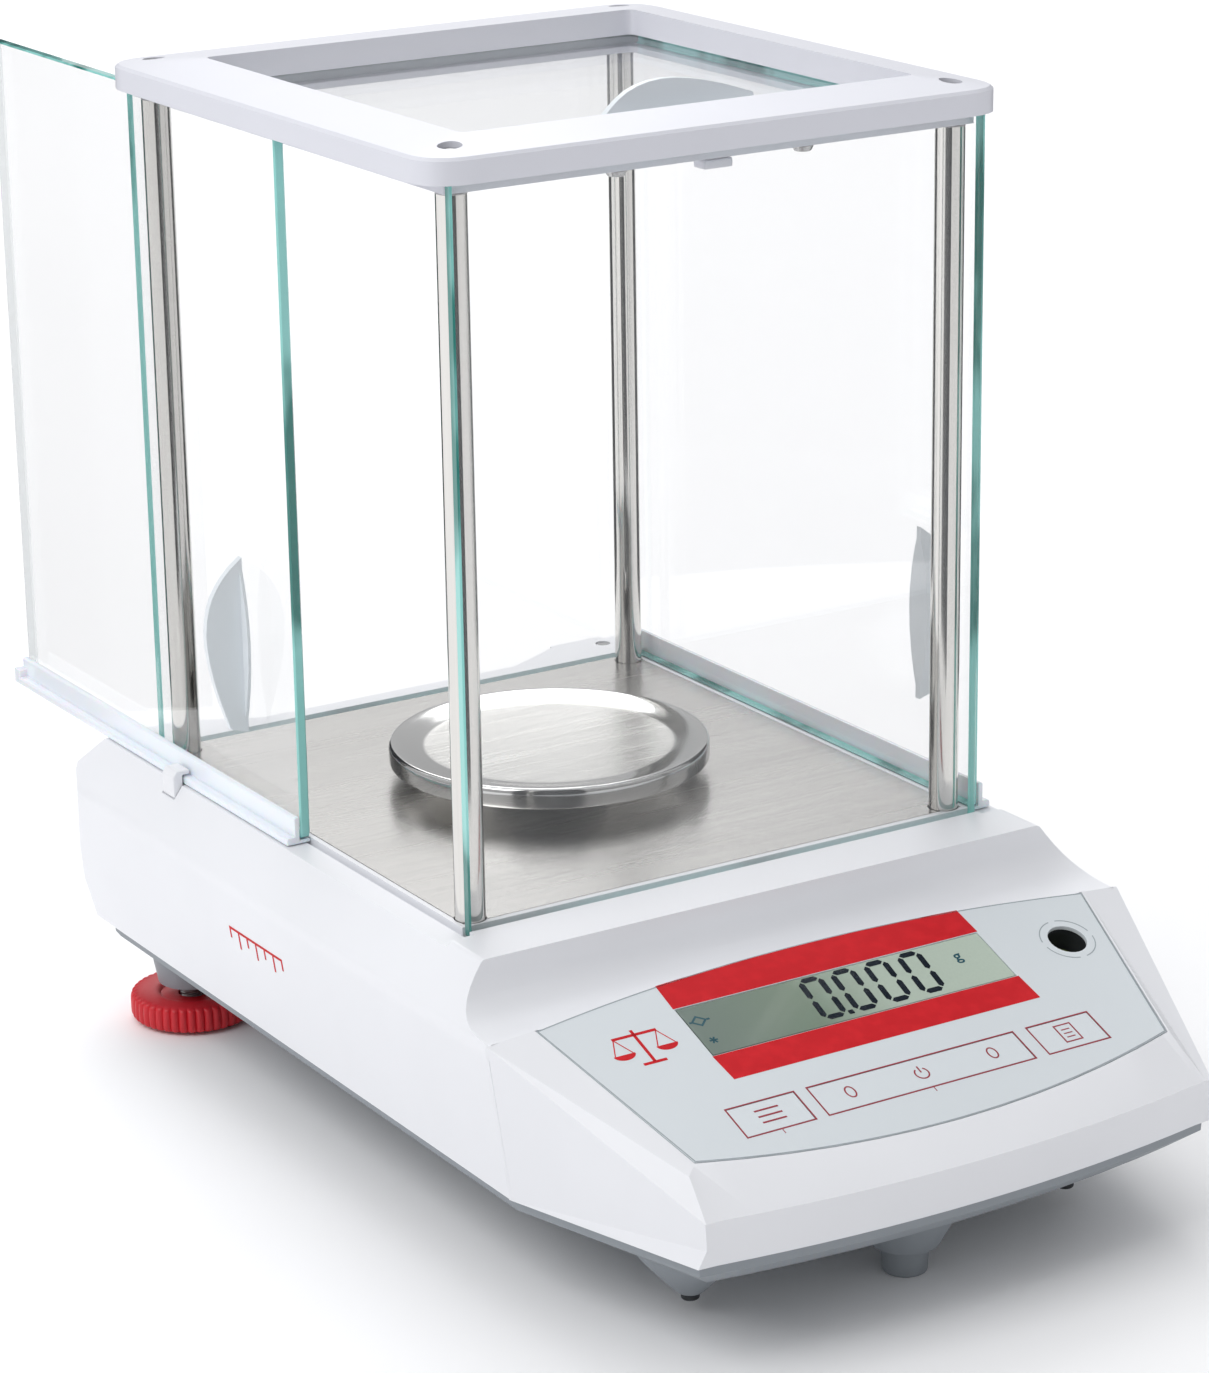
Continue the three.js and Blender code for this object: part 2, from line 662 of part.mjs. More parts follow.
function guideFrame() {
  const groove = HATCH_X + GROOVE;
  const ring = prism(roundedBox(79.4, -84.9, 84.9, 1), GUIDE_LOW, FRAME_LOW - GAP);
  return cut(
    ring,
    prism(roundedBox(HATCH_X, HATCH_FRONT, HATCH_BACK, HATCH_R, 6), 180, 200),
    block(-groove, groove, HATCH_FRONT - GROOVE, 95, TOP_PANE_LOW - GAP, 200),
    bar(28, -80.8, 180, 200, 1.7, 1.7, 16),
    bar(-28, -80.8, 180, 200, 1.7, 1.7, 16),
    ...frameScrewHoles(180, 200),
  );
}

function pillar(side, end) {
  const x = side * PILLAR_X;
  const y = end * PILLAR_Y;
  const rod = bar(x, y, -8, PILLAR_TOP, PILLAR_R, PILLAR_R, 32);
  return cut(rod, bar(x, y, -9, 190, SCREW_HOLE_R, SCREW_HOLE_R, 16));
}

function frameScrew(side, end) {
  const x = side * PILLAR_X;
  const y = end * PILLAR_Y;
  const head = bar(x, y, 195.9, 198.2, SCREW_HEAD_R);
  const body = join(head, bar(x, y, 178, 196.5, SCREW_R, SCREW_R, 16));
  return cut(body, bar(x, y, 196.9, 200, 1.4, 1.4, 6));
}

// ---------------------------------------------------------------- doors

function doorRail(side, y0) {
  const outline = [
    [80.2, -1.2], [87.2, -1.2], [87.2, 0.4], [86.7, 0.9], [84.8, 0.9], [84.8, 5.9], [84.3, 6.4],
    [83.3, 6.4], [83.3, -0.3], [80.2, -0.3],
  ];
  const strip = prismAlongY(outline.map(([x, z]) => [side * x, z]), y0, y0 + DOOR_LENGTH);
  const end = y0 + DOOR_LENGTH;
  return join(strip, sideBlock(side, 83.3, 87.2, end - 2.5, end + 1.2, -1.2, 3.2));
}

function doorGrip(side, y) {
  const base = DOOR_INNER_X + GLASS + GAP;
  const fin = gripOutline().map(([out, along]) => [side * (base + out), 23 + along]);
  const pad = padOutline().map(([across, along]) => [y + across, 23 + along]);
  const [x0, x1] = side > 0 ? [base, base + 0.9] : [-base - 0.9, -base];
  return join(prismAlongY(fin, y - 1, y + 1), prismAlongX(pad, x0, x1));
}

function sideDoor(label, side, y0) {
  const pane = sideBlock(
    side, DOOR_INNER_X, DOOR_INNER_X + GLASS, y0, y0 + DOOR_LENGTH, 0, DOOR_TOP);
  piece(`${label}_door_glass`, pane, PANE);
  piece(`${label}_door_rail`, doorRail(side, y0), WHITE);
  piece(`${label}_door_grip`, doorGrip(side, y0 + 28.5), HANDLE_GREY);
}

function topDoor() {
  const halfX = HATCH_X + GROOVE - GAP;
  const high = TOP_PANE_LOW + 2.8;
  const y = -59.7;
  const fin = gripOutline().map(([out, along]) => [28 - along, high + GAP + out]);
  const pad = padOutline().map(([across, along]) => [28 - along, y + across]);
  const pane = block(-halfX, halfX, HATCH_FRONT - GROOVE + GAP, TOP_PANE_BACK, TOP_PANE_LOW, high);
  const grip = join(prismAlongY(fin, y - 1, y + 1), prism(pad, high + GAP, high + GAP + 0.9));
  piece('top_door_glass', pane, PANE);
  piece('top_door_grip', grip, HANDLE_GREY);
}

// ---------------------------------------------------------------- pan

const PAN_OUTLINE = [
  [0, 8.7], [38.9, 8.7], [40.2, 9.6], [41.2, 10.1], [43.1, 10.1], [43.9, 9.3], [43.9, 5.3],
  [44.5, 5.3], [45, 6], [45, 9.7], [44.6, 10.8], [43.4, PAN_TOP], [41, PAN_TOP], [39.6, 10.9],
  [38.4, 9.7], [0, 9.7],
].map(([r, z]) => [r * (PAN_R / 45), z]);

const PAN_SUPPORT_OUTLINE = [
  [0, -14], [6, -14], [6, 2], [9.5, 3], [16, 6.8], [16, 8.4], [0, 8.4],
];

// ---------------------------------------------------------------- feet

function footWheel(x) {
  const ribs = 44;
  const outline = [];
  for (let i = 0; i < ribs * 2; i++) {
    const angle = (Math.PI * i) / ribs;
    const r = i % 2 ? WHEEL_R : WHEEL_R - 0.8;
    outline.push([x + r * Math.cos(angle), WHEEL_Y + r * Math.sin(angle)]);
  }
  return cut(
    prism(outline, WHEEL_LOW, WHEEL_HIGH),
    bar(x, WHEEL_Y, -86, -80.9, 9.8),
    bar(x, WHEEL_Y, -86, -70, PILLAR_R + GAP),
  );
}

function levellingFoot(label, side) {
  const x = side * WHEEL_X;
  const pad = [[0, TABLE_Z], [8.8, TABLE_Z], [9.4, TABLE_Z + 0.8], [9.4, -81.2], [0, -81.2]];
  piece(`${label}_foot_wheel`, footWheel(x), RED);
  piece(`${label}_foot_stud`, bar(x, WHEEL_Y, -80.8, -56, PILLAR_R), STEEL);
  piece(`${label}_foot_pad`, turned(pad, x, WHEEL_Y, 32), RUBBER);
}

// ---------------------------------------------------------------- inner works

function weighCellFrame() {
  return join(block(-30, 30, -45, 50, -59, -46), block(-30, 30, 30, 50, -47, -18));
}

function weighCellLever() {
  return join(
    block(-10, 10, -40, 29.5, -30.4, -22.4),
    block(-6, 6, PAN_Y - 6, PAN_Y + 6, -23.4, -14.3),
  );
}

function mainBoard() {
  const chips = [
    block(40, 58, -30, -12, -56.6, -52.4),
    block(44, 66, 10, 32, -56.6, -53.4),
    block(38, 46, 44, 54, -56.6, -46.4),
  ];
  return join(block(34, 72, -70, 60, -58, -56.4), ...chips);
}

function displayBoard() {
  const switches = [-45, -20, 20, 46.5].map((u) => bar(u, 8.3, -8.6, -2, 3, 3, 16));
  return join(block(-60, 60, -1, 54, -10, -8.4), ...switches);
}

function dcInlet() {
  const body = join(
    barAlongY(DC_X, SOCKET_Z, 88, 94.4, 6.6, 28),
    block(DC_X - 5.5, DC_X + 5.5, 80, 89, SOCKET_Z - 6, SOCKET_Z + 6),
  );
  return cut(body, barAlongY(DC_X, SOCKET_Z, 84, 96, 3.6));
}

function serialPort() {
  return join(
    block(SERIAL_X - 9.5, SERIAL_X + 9.5, 84, 95, SOCKET_Z - 5.4, SOCKET_Z + 5.4),
    block(SERIAL_X - 15.4, SERIAL_X + 15.4, 94.8, 96.2, SOCKET_Z - 6.2, SOCKET_Z + 6.2),
    block(SERIAL_X - 8.3, SERIAL_X + 8.3, 96, 101, SOCKET_Z - 4.2, SOCKET_Z + 4.2),
  );
}

// ---------------------------------------------------------------- keypad panel

function keypadFilm() {
  const tools = [
    block(-BAND_X, BAND_X, WINDOW_LOW, WINDOW_HIGH, -9, 9),
    bar(LEVEL_X, LEVEL_V, -9, 9, LEVEL_R),
  ];
  KEYS.forEach(([, u0, u1]) => tools.push(block(u0, u1, KEY_LOW, KEY_HIGH, -9, 9)));
  return cut(prism(panelOutline(0), -FILM, 0), ...tools);
}

const LEVEL_CUP_OUTLINE = [
  [0, -13], [7.5, -13], [7.5, -1.9], [5.9, -1.9], [5.9, -12], [0, -12],
];
const LEVEL_VIAL_OUTLINE = [[0, -11.7], [5.6, -11.7], [5.6, -7.4], [4, -6.6], [0, -6.3]];

// ---------------------------------------------------------------- assembly

piece('top_housing', topHousing(), WHITE);
piece('lower_casing', lowerCasing(), CASING_GREY);
piece('floor_plate', floorPlate(), STEEL);
piece('top_frame', topFrame(), FRAME_WHITE);
piece('guide_frame', guideFrame(), FRAME_WHITE);
ENDS.forEach(([endName, end]) => SIDES.forEach(([sideName, side]) => {
  piece(`pillar_${endName}_${sideName}`, pillar(side, end), POLISHED);
  piece(`frame_screw_${endName}_${sideName}`, frameScrew(side, end), STEEL);
}));
piece(
  'front_glass',
  block(-PANE_X, PANE_X, FRONT_PANE_Y, FRONT_PANE_Y + GLASS, PANE_FOOT, PANE_TOP),
  PANE,
);
piece(
  'rear_glass',
  block(-PANE_X, PANE_X, REAR_PANE_Y - GLASS, REAR_PANE_Y, PANE_FOOT, TOP_PANE_LOW - 0.6),
  PANE,
);
sideDoor('left', -1, DOOR_FRONT + LEFT_DOOR_OPEN);
sideDoor('right', 1, DOOR_FRONT);
topDoor();
SIDES.forEach(([label, side]) => {
  piece(`${label}_door_clip`, doorClip(side), WHITE);
  piece(`deck_screw_${label}`, bar(side * 77.3, 99, -5, -0.3, 2, 2, 16), BLACK);
  const screw = join(
    bar(side * 28, -80.8, 186.4, 188, 2.2, 3, 20),
    bar(side * 28, -80.8, 187.5, 190.8, 1.4, 1.4, 12),
  );
  piece(`guide_screw_${label}`, screw, POLISHED);
  piece(`tilt_pin_${label}`, bar(side * PIN_X, PIN_Y, PIN_LOW, -72, 2.4, 2.4, 20), BLACK);
  levellingFoot(label, side);
});
piece('stop_block', block(-4.3, 4.3, -84.6, -79.4, 185.6, 188), FRAME_WHITE);
piece('pan', turned(PAN_OUTLINE, 0, PAN_Y, 72), POLISHED);
piece('pan_support', turned(PAN_SUPPORT_OUTLINE, 0, PAN_Y, 40), ALLOY);
piece(
  'front_foot',
  join(
    bar(0, FRONT_FOOT_Y, TABLE_Z, -76.3, 5.8, 6.2),
    bar(0, FRONT_FOOT_Y, -76.5, -70, 3, 3, 20),
  ),
  RUBBER,
);
piece(
  'hook_cover',
  join(
    bar(0, PAN_Y, FLOOR_Z - 0.6, FLOOR_Z + 2, 11.6),
    bar(0, PAN_Y, FLOOR_Z - 1.6, FLOOR_Z - 0.4, 14),
  ),
  CASING_GREY,
);
piece('weigh_cell_frame', weighCellFrame(), ALLOY);
piece('weigh_cell_lever', weighCellLever(), ALLOY);
piece('weigh_cell_magnet', bar(0, -30, -45.6, -30.8, 14), STEEL);
piece('main_board', mainBoard(), BOARD);
piece('dc_inlet', dcInlet(), BLACK);
piece('serial_port', serialPort(), BLACK);
piece('keypad_film', keypadFilm(), FILM_GREY, panel);
piece(
  'display_window',
  block(-BAND_X + GAP, BAND_X - GAP, WINDOW_LOW + GAP, WINDOW_HIGH - GAP, -FILM, 0),
  LCD_GREY,
  panel,
);
piece('lcd_module', block(-50, 50, 29, 53.5, -8, -1.6), BLACK, panel);
piece('display_board', displayBoard(), BOARD, panel);
KEYS.forEach(([name, u0, u1]) => {
  const key = block(u0 + GAP, u1 - GAP, KEY_LOW + GAP, KEY_HIGH - GAP, -FILM, 0);
  piece(name, key, KEY_WHITE, panel);
});
piece('level_cup', turned(LEVEL_CUP_OUTLINE, LEVEL_X, LEVEL_V, 32), BLACK, panel);
piece('level_vial', turned(LEVEL_VIAL_OUTLINE, LEVEL_X, LEVEL_V, 28), LIQUID, panel);

// The origin goes to the centre of the footprint, at table height.
const part = new THREE.Group();
part.add(assembly);
part.updateMatrixWorld(true);
const extent = new THREE.Box3().setFromObject(part);
assembly.position.set(0, -(extent.min.y + extent.max.y) / 2, -TABLE_Z);

export default part;
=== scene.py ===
# %% [markdown]
# # Analytical balance with a glass draught shield
# The CAD model gives the size and place of every part. It is loaded once and never moved.
# Blender's work is the surface: soft mould edges, ground glass, brushed and polished steel,
# the printed keypad and the display. Every new piece is worked out in millimetres from a
# point of the real object, then put in metres into the CAD model's own frame.

# %% Load the frame
import json
import math

import bmesh
import bpy
import numpy as np
from mathutils import Matrix, Vector


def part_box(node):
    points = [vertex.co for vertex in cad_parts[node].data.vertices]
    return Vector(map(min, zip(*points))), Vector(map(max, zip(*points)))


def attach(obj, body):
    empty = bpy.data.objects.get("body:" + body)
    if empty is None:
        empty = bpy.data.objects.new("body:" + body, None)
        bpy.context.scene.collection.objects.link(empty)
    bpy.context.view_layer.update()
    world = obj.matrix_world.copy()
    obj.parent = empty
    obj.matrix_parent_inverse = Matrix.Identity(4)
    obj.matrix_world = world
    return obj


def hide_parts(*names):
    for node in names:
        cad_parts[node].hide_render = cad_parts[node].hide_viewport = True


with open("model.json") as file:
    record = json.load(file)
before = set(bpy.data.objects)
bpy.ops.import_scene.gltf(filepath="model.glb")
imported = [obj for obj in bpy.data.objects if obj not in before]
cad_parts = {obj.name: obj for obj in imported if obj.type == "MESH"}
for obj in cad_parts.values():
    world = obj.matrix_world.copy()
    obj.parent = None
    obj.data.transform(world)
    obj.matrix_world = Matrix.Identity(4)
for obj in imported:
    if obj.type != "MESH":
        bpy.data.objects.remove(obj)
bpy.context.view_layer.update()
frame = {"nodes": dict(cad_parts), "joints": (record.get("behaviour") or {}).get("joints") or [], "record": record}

MM = 0.001

# %% [markdown]
# ## Two places to measure from
# A balance is easiest to describe from the middle of its weighing chamber, on the steel
# floor plate. The keypad is easiest on its own sloping plane, with u across, v up the slope
# and w out of the plane. Both places can be found from the CAD: the four pillars stand
# round the chamber's middle, and the keys press straight into the keypad's plane.

# %% Chamber and keypad places
posts = [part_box(f"pillar_{end}_{side}") for end in ("front", "rear") for side in ("left", "right")]
CHAMBER = np.array([0.0, np.mean([(low.y + high.y) / 2 for low, high in posts]),
                    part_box("floor_plate")[1].z])
KEY_LOW, KEY_HIGH = 3.3, 13.4  # the keys' lower and upper edges up the slope

press = next(joint for joint in frame["joints"] if joint["name"] == "key_unit_press")
PANEL_W = -np.array(press["axis"], float)
PANEL_V = np.array([0.0, PANEL_W[2], -PANEL_W[1]])
key_low, key_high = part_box("key_unit")
PANEL = np.array([0.0, key_low.y - KEY_LOW * MM * PANEL_V[1], key_high.z - KEY_HIGH * MM * PANEL_V[2]])
slope = np.degrees(np.arcsin(PANEL_V[2]))
print("chamber", CHAMBER.round(4), "keypad", PANEL.round(4), "slope", slope.round(2))


def in_chamber(points):
    """Millimetres from the chamber's middle, as metres in the frame."""
    return np.asarray(points, float) * MM + CHAMBER


def on_panel(points):
    """Millimetres (u, v, w) on the keypad: origin + u across + v up the slope + w outwards."""
    u, v, w = np.moveaxis(np.asarray(points, float) * MM, -1, 0)[..., None]
    return PANEL + u * np.array([1.0, 0, 0]) + v * PANEL_V + w * PANEL_W


# %% [markdown]
# ## Shader arithmetic
# A finish is a small calculation over the surface: how rough, how bright, how raised. Node
# editors show it as boxes and wires. Written as sums and products it is easier to read, so
# one class wraps a node's output and turns Python's operators into Math nodes.

# %% Socket arithmetic
class Wire:
    """An output of a node. Sums and products with it add Math nodes."""

    def __init__(self, finish, output):
        self.finish = finish
        self.output = output

    def math(self, operation, *values):
        inputs = dict(enumerate(values))
        return self.finish.node("Math", {"operation": operation}, inputs)

    def __add__(self, other):
        return self.math("ADD", self, other)

    def __sub__(self, other):
        return self.math("SUBTRACT", self, other)

    def __rsub__(self, other):
        return self.math("SUBTRACT", other, self)

    def __mul__(self, other):
        return self.math("MULTIPLY", self, other)

    def __truediv__(self, other):
        return self.math("DIVIDE", self, other)

    def __pow__(self, other):
        return self.math("POWER", self, other)

    __radd__ = __add__
    __rmul__ = __mul__

    def above(self, edge, soft):
        """0 below the edge and 1 above it, over a soft step as wide as soft."""
        return self.finish.node("MapRange", {"clamp": True, "interpolation_type": "SMOOTHSTEP"},
                                {0: self, 1: edge - soft / 2, 2: edge + soft / 2})


def linear(colour):
    """Screen colour 0xRRGGBB as scene-linear red, green, blue and alpha 1."""
    parts = np.array([colour >> 16, colour >> 8 & 255, colour & 255]) / 255
    light = np.where(parts <= 0.04045, parts / 12.92, ((parts + 0.055) / 1.055) ** 2.4)
    return (*light.tolist(), 1.0)


class Finish:
    """A material with one Principled shader, and short ways to add nodes to it."""

    def __init__(self, name, colour, roughness=0.5, metallic=0.0, **constants):
        self.material = bpy.data.materials.new(name)
        self.material.use_nodes = True
        self.tree = self.material.node_tree
        self.surface = self.tree.nodes["Principled BSDF"]
        self.colour = linear(colour)
        self.feed("Base Color", self.colour)
        self.feed("Roughness", roughness)
        self.feed("Metallic", metallic)
        for key, value in constants.items():
            self.feed(key.replace("_", " "), value)

    def plug(self, socket, value):
        if isinstance(value, Wire):
            self.tree.links.new(value.output, socket)
        else:
            socket.default_value = value

    def feed(self, name, value):
        """Puts a number, a colour or a wire on one of the shader's sockets."""
        self.plug(self.surface.inputs[name], value)

    def node(self, kind, settings=None, inputs=None, output=0):
        """Adds a node: its type, its settings, then the values or wires of its sockets."""
        made = self.tree.nodes.new("ShaderNode" + kind)
        for key, value in (settings or {}).items():
            if key == "stops":
                self.set_stops(made.color_ramp.elements, value)
            else:
                setattr(made, key, value)
        for key, value in (inputs or {}).items():
            self.plug(made.inputs[key], value)
        return Wire(self, made.outputs[output])

    def set_stops(self, elements, stops):
        while len(elements) < len(stops):
            elements.new(0.5)
        for element, (position, colour) in zip(elements, stops):
            element.position = position
            element.color = colour

    def place(self, centre=(0, 0, 0), scale=(1, 1, 1)):
        """Object coordinates measured from a centre and stretched along each axis."""
        spot = self.node("TexCoord", output=3)
        moved = self.node("VectorMath", {"operation": "SUBTRACT"}, {0: spot, 1: tuple(centre)})
        return self.node("Mapping", None, {"Vector": moved, "Scale": scale})

    def noise(self, scale, detail=2.0, where=None, stretch=(1, 1, 1)):
        """Cloudy noise from 0 to 1; scale is in cells for each metre."""
        vector = where or self.place(scale=stretch)
        return self.node("TexNoise", None, {"Vector": vector, "Scale": scale, "Detail": detail})

    def mix(self, factor, first, second):
        """First colour where the factor is 0, second where it is 1."""
        return self.node("Mix", {"data_type": "RGBA"}, {0: factor, 6: first, 7: second}, 2)

    def relief(self, height, distance, strength=1.0):
        """Raises the surface by height times a distance in metres."""
        self.feed("Normal", self.node("Bump", None, {
            "Height": height, "Distance": distance, "Strength": strength}))


# %% [markdown]
# ## Moulded plastic
# The housing is injection-moulded ABS with a fine spark-eroded texture, so its gloss is soft
# and broken up. A flat colour would look like paper. Two noises do the work: a very fine one
# raises the surface by a few hundredths of a millimetre, and a broad one moves the
# roughness and tint by a few hundredths, as handling and moulding do.

# %% Moulded finishes
def moulded(name, colour, roughness, grain=1400, depth=0.00002, tint=0.03, **constants):
    """Satin plastic: fine texture, and a broad drift of roughness and shade."""
    made = Finish(name, colour, roughness, **constants)
    broad = made.noise(14, 3)
    fine = made.noise(grain, 2)
    made.feed("Roughness", roughness + (broad - 0.5) * 0.12 + (fine - 0.5) * 0.08)
    darker = tuple(c * (1 - tint) for c in made.colour[:3]) + (1.0,)
    made.feed("Base Color", made.mix(broad.above(0.5, 0.5), made.colour, darker))
    made.relief(fine, depth, 0.5)
    return made


FINISHES = {
    "housing_white": moulded("housing_white", 0xECEDF1, 0.36, IOR=1.5),
    "casing_grey": moulded("casing_grey", 0x8F959B, 0.5, grain=900, depth=0.00004),
    "frame_white": moulded("frame_white", 0xDDDEE6, 0.36),
    "grip_grey": moulded("grip_grey", 0xE4E9ED, 0.42),
    "fitting_black": moulded("fitting_black", 0x2A2D31, 0.5, grain=900),
    "foot_rubber": moulded("foot_rubber", 0x55595F, 0.78, grain=700, depth=0.00006),
    "foot_red": moulded("foot_red", 0xD01F2C, 0.42, grain=900, tint=0.12),
    "keypad_film": moulded("keypad_film", 0xD9DFE3, 0.34, grain=2600, depth=0.00001, tint=0.015),
    "key_film": moulded("key_film", 0xDBE1E5, 0.34, grain=2600, depth=0.00001, tint=0.015),
    "board_green": moulded("board_green", 0x2C6A44, 0.3, grain=500, tint=0.2),
}
FINISHES["rail_white"] = moulded(
    "rail_white", 0xEEF3FB, 0.2, depth=0.000008, tint=0.02, Subsurface_Weight=0.25,
    Subsurface_Scale=0.004, Coat_Weight=0.3)
print("moulded finishes", len(FINISHES))

# %% [markdown]
# ## Steel
# Three steels meet here. The floor plate is brushed: thousands of hair-fine scratches run
# from side to side, so the noise is squeezed to thin lines. The pillars are drawn and
# polished tube. The pan is polished round its dished rim and brushed in the middle, which a
# mask on the distance from its centre settles. The same mask paints the rim a darker grey
# than the middle: painted shade, standing in for the rim's grey reflections.

# %% Metal finishes
WORN = 0.92  # a scratch's floor is this much of the metal's brightness


def brushed(name, colour, roughness, stretch, scratch=0.00001, spread=0.16, worn=WORN):
    """Metal with hair lines: noise stretched so that it runs along one axis."""
    made = Finish(name, colour, roughness, 1.0)
    lines = made.noise(900, 3, stretch=stretch)
    cloud = made.noise(30, 2, stretch=stretch)
    made.feed("Roughness", roughness + (lines - 0.5) * spread)
    dull = tuple(c * worn for c in made.colour[:3]) + (1.0,)
    made.feed("Base Color", made.mix((lines * 0.7 + cloud * 0.3).above(0.5, 0.4), made.colour, dull))
    made.relief(lines, scratch, 0.6)
    return made


FINISHES["floor_steel"] = brushed("floor_steel", 0xDEDCD9, 0.25, (0.012, 1, 1), 0.000002, 0.14, worn=0.8)
FINISHES["pillar_steel"] = brushed("pillar_steel", 0xDEDCD8, 0.1, (1, 1, 0.01), 0.000002, 0.06)
FINISHES["screw_steel"] = brushed("screw_steel", 0xB9B9B9, 0.2, (1, 1, 1), 0.000004, 0.1)
FINISHES["stud_steel"] = brushed("stud_steel", 0xA9A9A8, 0.3, (1, 1, 0.3), 0.000008)
FINISHES["cell_alloy"] = brushed("cell_alloy", 0xC2C4C6, 0.36, (1, 0.05, 1), 0.00001)

PAN_LOW, PAN_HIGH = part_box("pan")
PAN_CENTRE = (PAN_LOW + PAN_HIGH) / 2
pan_steel = brushed("pan_steel", 0xF2F1EE, 0.24, (0.02, 1, 1), 0.000005, 0.12)
spot = pan_steel.place(PAN_CENTRE, (1, 1, 0))
radius = pan_steel.node("VectorMath", {"operation": "LENGTH"}, {0: spot}, 1)
polished_rim_and_painted_shade = radius.above(0.0352, 0.0012)
hairs = pan_steel.noise(900, 3, stretch=(0.02, 1, 1))
pan_steel.feed("Roughness", (0.25 + (hairs - 0.5) * 0.16) * (1 - polished_rim_and_painted_shade) + polished_rim_and_painted_shade * 0.11)
# painted shade: the polished rim is coloured a darker grey than the brushed middle
pan_steel.feed("Base Color", pan_steel.mix(polished_rim_and_painted_shade, linear(0xEDECE9), linear(0xC9C9C8)))
pan_steel.relief(hairs * (1 - polished_rim_and_painted_shade), 0.000005, 0.6)
FINISHES["pan_steel"] = pan_steel

# %% [markdown]
# ## Glass
# The panes are 3 mm float glass with ground edges. Real refraction through ten surfaces
# needs many light paths and turns noisy, and flat glass hardly bends what is behind it. So
# the broad faces let light straight through with a faint tint, and a facing term adds the
# mirror gloss, alike on both faces. The ground edges gather the glass's iron green, so they
# are a finish of their own: bright aqua with darker ripples. The rear edges are coloured
# pale and half see-through instead, which is painted light.

# %% Glass finishes
def clear_glass(name, tint, gloss):
    """Straight-through tint mixed with a mirror that grows with the fourth power of facing away."""
    made = Finish(name, 0xFFFFFF, 0.02)
    passing = made.node("BsdfTransparent", None, {0: linear(tint)})
    mirror = made.node("BsdfGlossy", None, {"Color": linear(0xFAFBFC), "Roughness": gloss})
    smear = made.noise(9, 2)
    facing = made.node("LayerWeight", None, {"Blend": 0.5}, 1)
    share = (0.035 + facing ** 4 * 0.5) * (0.85 + smear * 0.3)
    both = made.node("MixShader", None, {0: share, 1: passing, 2: mirror})
    made.tree.links.new(both.output, made.tree.nodes["Material Output"].inputs["Surface"])
    return made


FINISHES["pane_glass"] = clear_glass("pane_glass", 0xFDFDFD, 0.01)
edge = Finish("pane_edge", 0x7CC9C0, 0.14, Coat_Weight=0.5)
ripple = edge.noise(46, 3, stretch=(1, 1, 0.35))
edge.feed("Base Color", edge.mix(ripple.above(0.56, 0.16), linear(0x93D6D0), linear(0x2E7C74)))
edge.relief(edge.noise(700, 2), 0.00003, 0.4)
FINISHES["pane_edge"] = edge
# painted light: the rear edges get a pale, half see-through edge colour
FINISHES["pane_edge_painted_light"] = moulded("pane_edge_painted_light", 0xDDE5E6, 0.2, tint=0.06, Alpha=0.45)

# %% [markdown]
# ## Prints and display
# The keypad is screen-printed on the back of a matt film: a red band, dark red outlines and
# signs. The display is a reflective liquid crystal: grey-green with near-black segments, and
# a painted shade darkens it towards one side. The bull's-eye level holds a pale green liquid
# in a black cup.

# %% Print and display finishes
def ink(name, colour, roughness=0.36, shine=0.5):
    """Printed ink: nearly flat, with the faint unevenness of a screen print."""
    made = Finish(name, colour, roughness, Specular_IOR_Level=shine)
    cloud = made.noise(220, 2)
    paler = tuple(min(1.0, c * 1.12 + 0.004) for c in made.colour[:3]) + (1.0,)
    made.feed("Base Color", made.mix(cloud.above(0.55, 0.4), made.colour, paler))
    made.feed("Roughness", roughness + (cloud - 0.5) * 0.1)
    return made


INKS = {
    "band_red": ink("band_red", 0xC80B1A, 0.5, 0.2),
    "label_red": ink("label_red", 0x98303C),
    "outline_grey": ink("outline_grey", 0x9AA3A8),
    "segment_ink": ink("segment_ink", 0x101A26, 0.25),
    "symbol_ink": ink("symbol_ink", 0x2C5560, 0.25),
}
crystal = Finish("display_pane", 0xA9B5A8, 0.16, Coat_Weight=0.6, Coat_Roughness=0.05)
across = crystal.node("SeparateXYZ", None, {0: crystal.place()})
# painted shade: a ramp across the display, darker towards one side
shade = crystal.node("ValToRGB", {"stops": [
    (0.0, linear(0x74827A)), (0.36, linear(0x80907F)), (0.62, linear(0xBAC8BA)), (1.0, linear(0xC2D0C2))]},
    {0: across * (1 / 0.094) + 0.5})
crystal.feed("Base Color", crystal.mix(crystal.noise(1500, 1) * 0.12, shade, linear(0x75847C)))
FINISHES["display_pane"] = crystal
liquid = Finish("level_liquid", 0xC9D98A, 0.04, Transmission_Weight=0.6, Coat_Weight=1.0)
liquid.feed("Base Color", liquid.mix(liquid.noise(90), linear(0xCFDF8E), linear(0xB4C873)))
FINISHES["level_liquid"] = liquid
print("finishes", len(FINISHES) + len(INKS))

# %% [markdown]
# ## Putting a mesh together
# Most shapes below are a grid: rows of points, worked out as one numpy array, joined by
# four-sided faces. The same few lines number the faces of every grid. Poles and seams are
# closed by merging points that coincide, and the normals are then turned outwards.

# %% Mesh helpers
def grid_faces(rows, columns, close_rows=False, close_columns=False):
    """Corner numbers of the quads between neighbouring rows and columns, wrapping if closed."""
    i, j = np.meshgrid(np.arange(rows - (not close_rows)), np.arange(columns - (not close_columns)),
                       indexing="ij")
    down, right = (i + 1) % rows, (j + 1) % columns
    quads = [i * columns + j, i * columns + right, down * columns + right, down * columns + j]
    return np.stack(quads, -1).reshape(-1, 4)


def add_piece(name, mesh, body, finish, replaces=(), sharp=35):
    """Links a finished mesh, smooths it up to an angle, and hands it to the frame."""
    mesh.shade_smooth()
    mesh.set_sharp_from_angle(angle=math.radians(sharp))
    for one in finish if isinstance(finish, (list, tuple)) else [finish]:
        mesh.materials.append(one.material)
    made = bpy.data.objects.new(name, mesh)
    bpy.context.scene.collection.objects.link(made)
    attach(made, body)
    if replaces:
        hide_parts(*replaces)
    return made


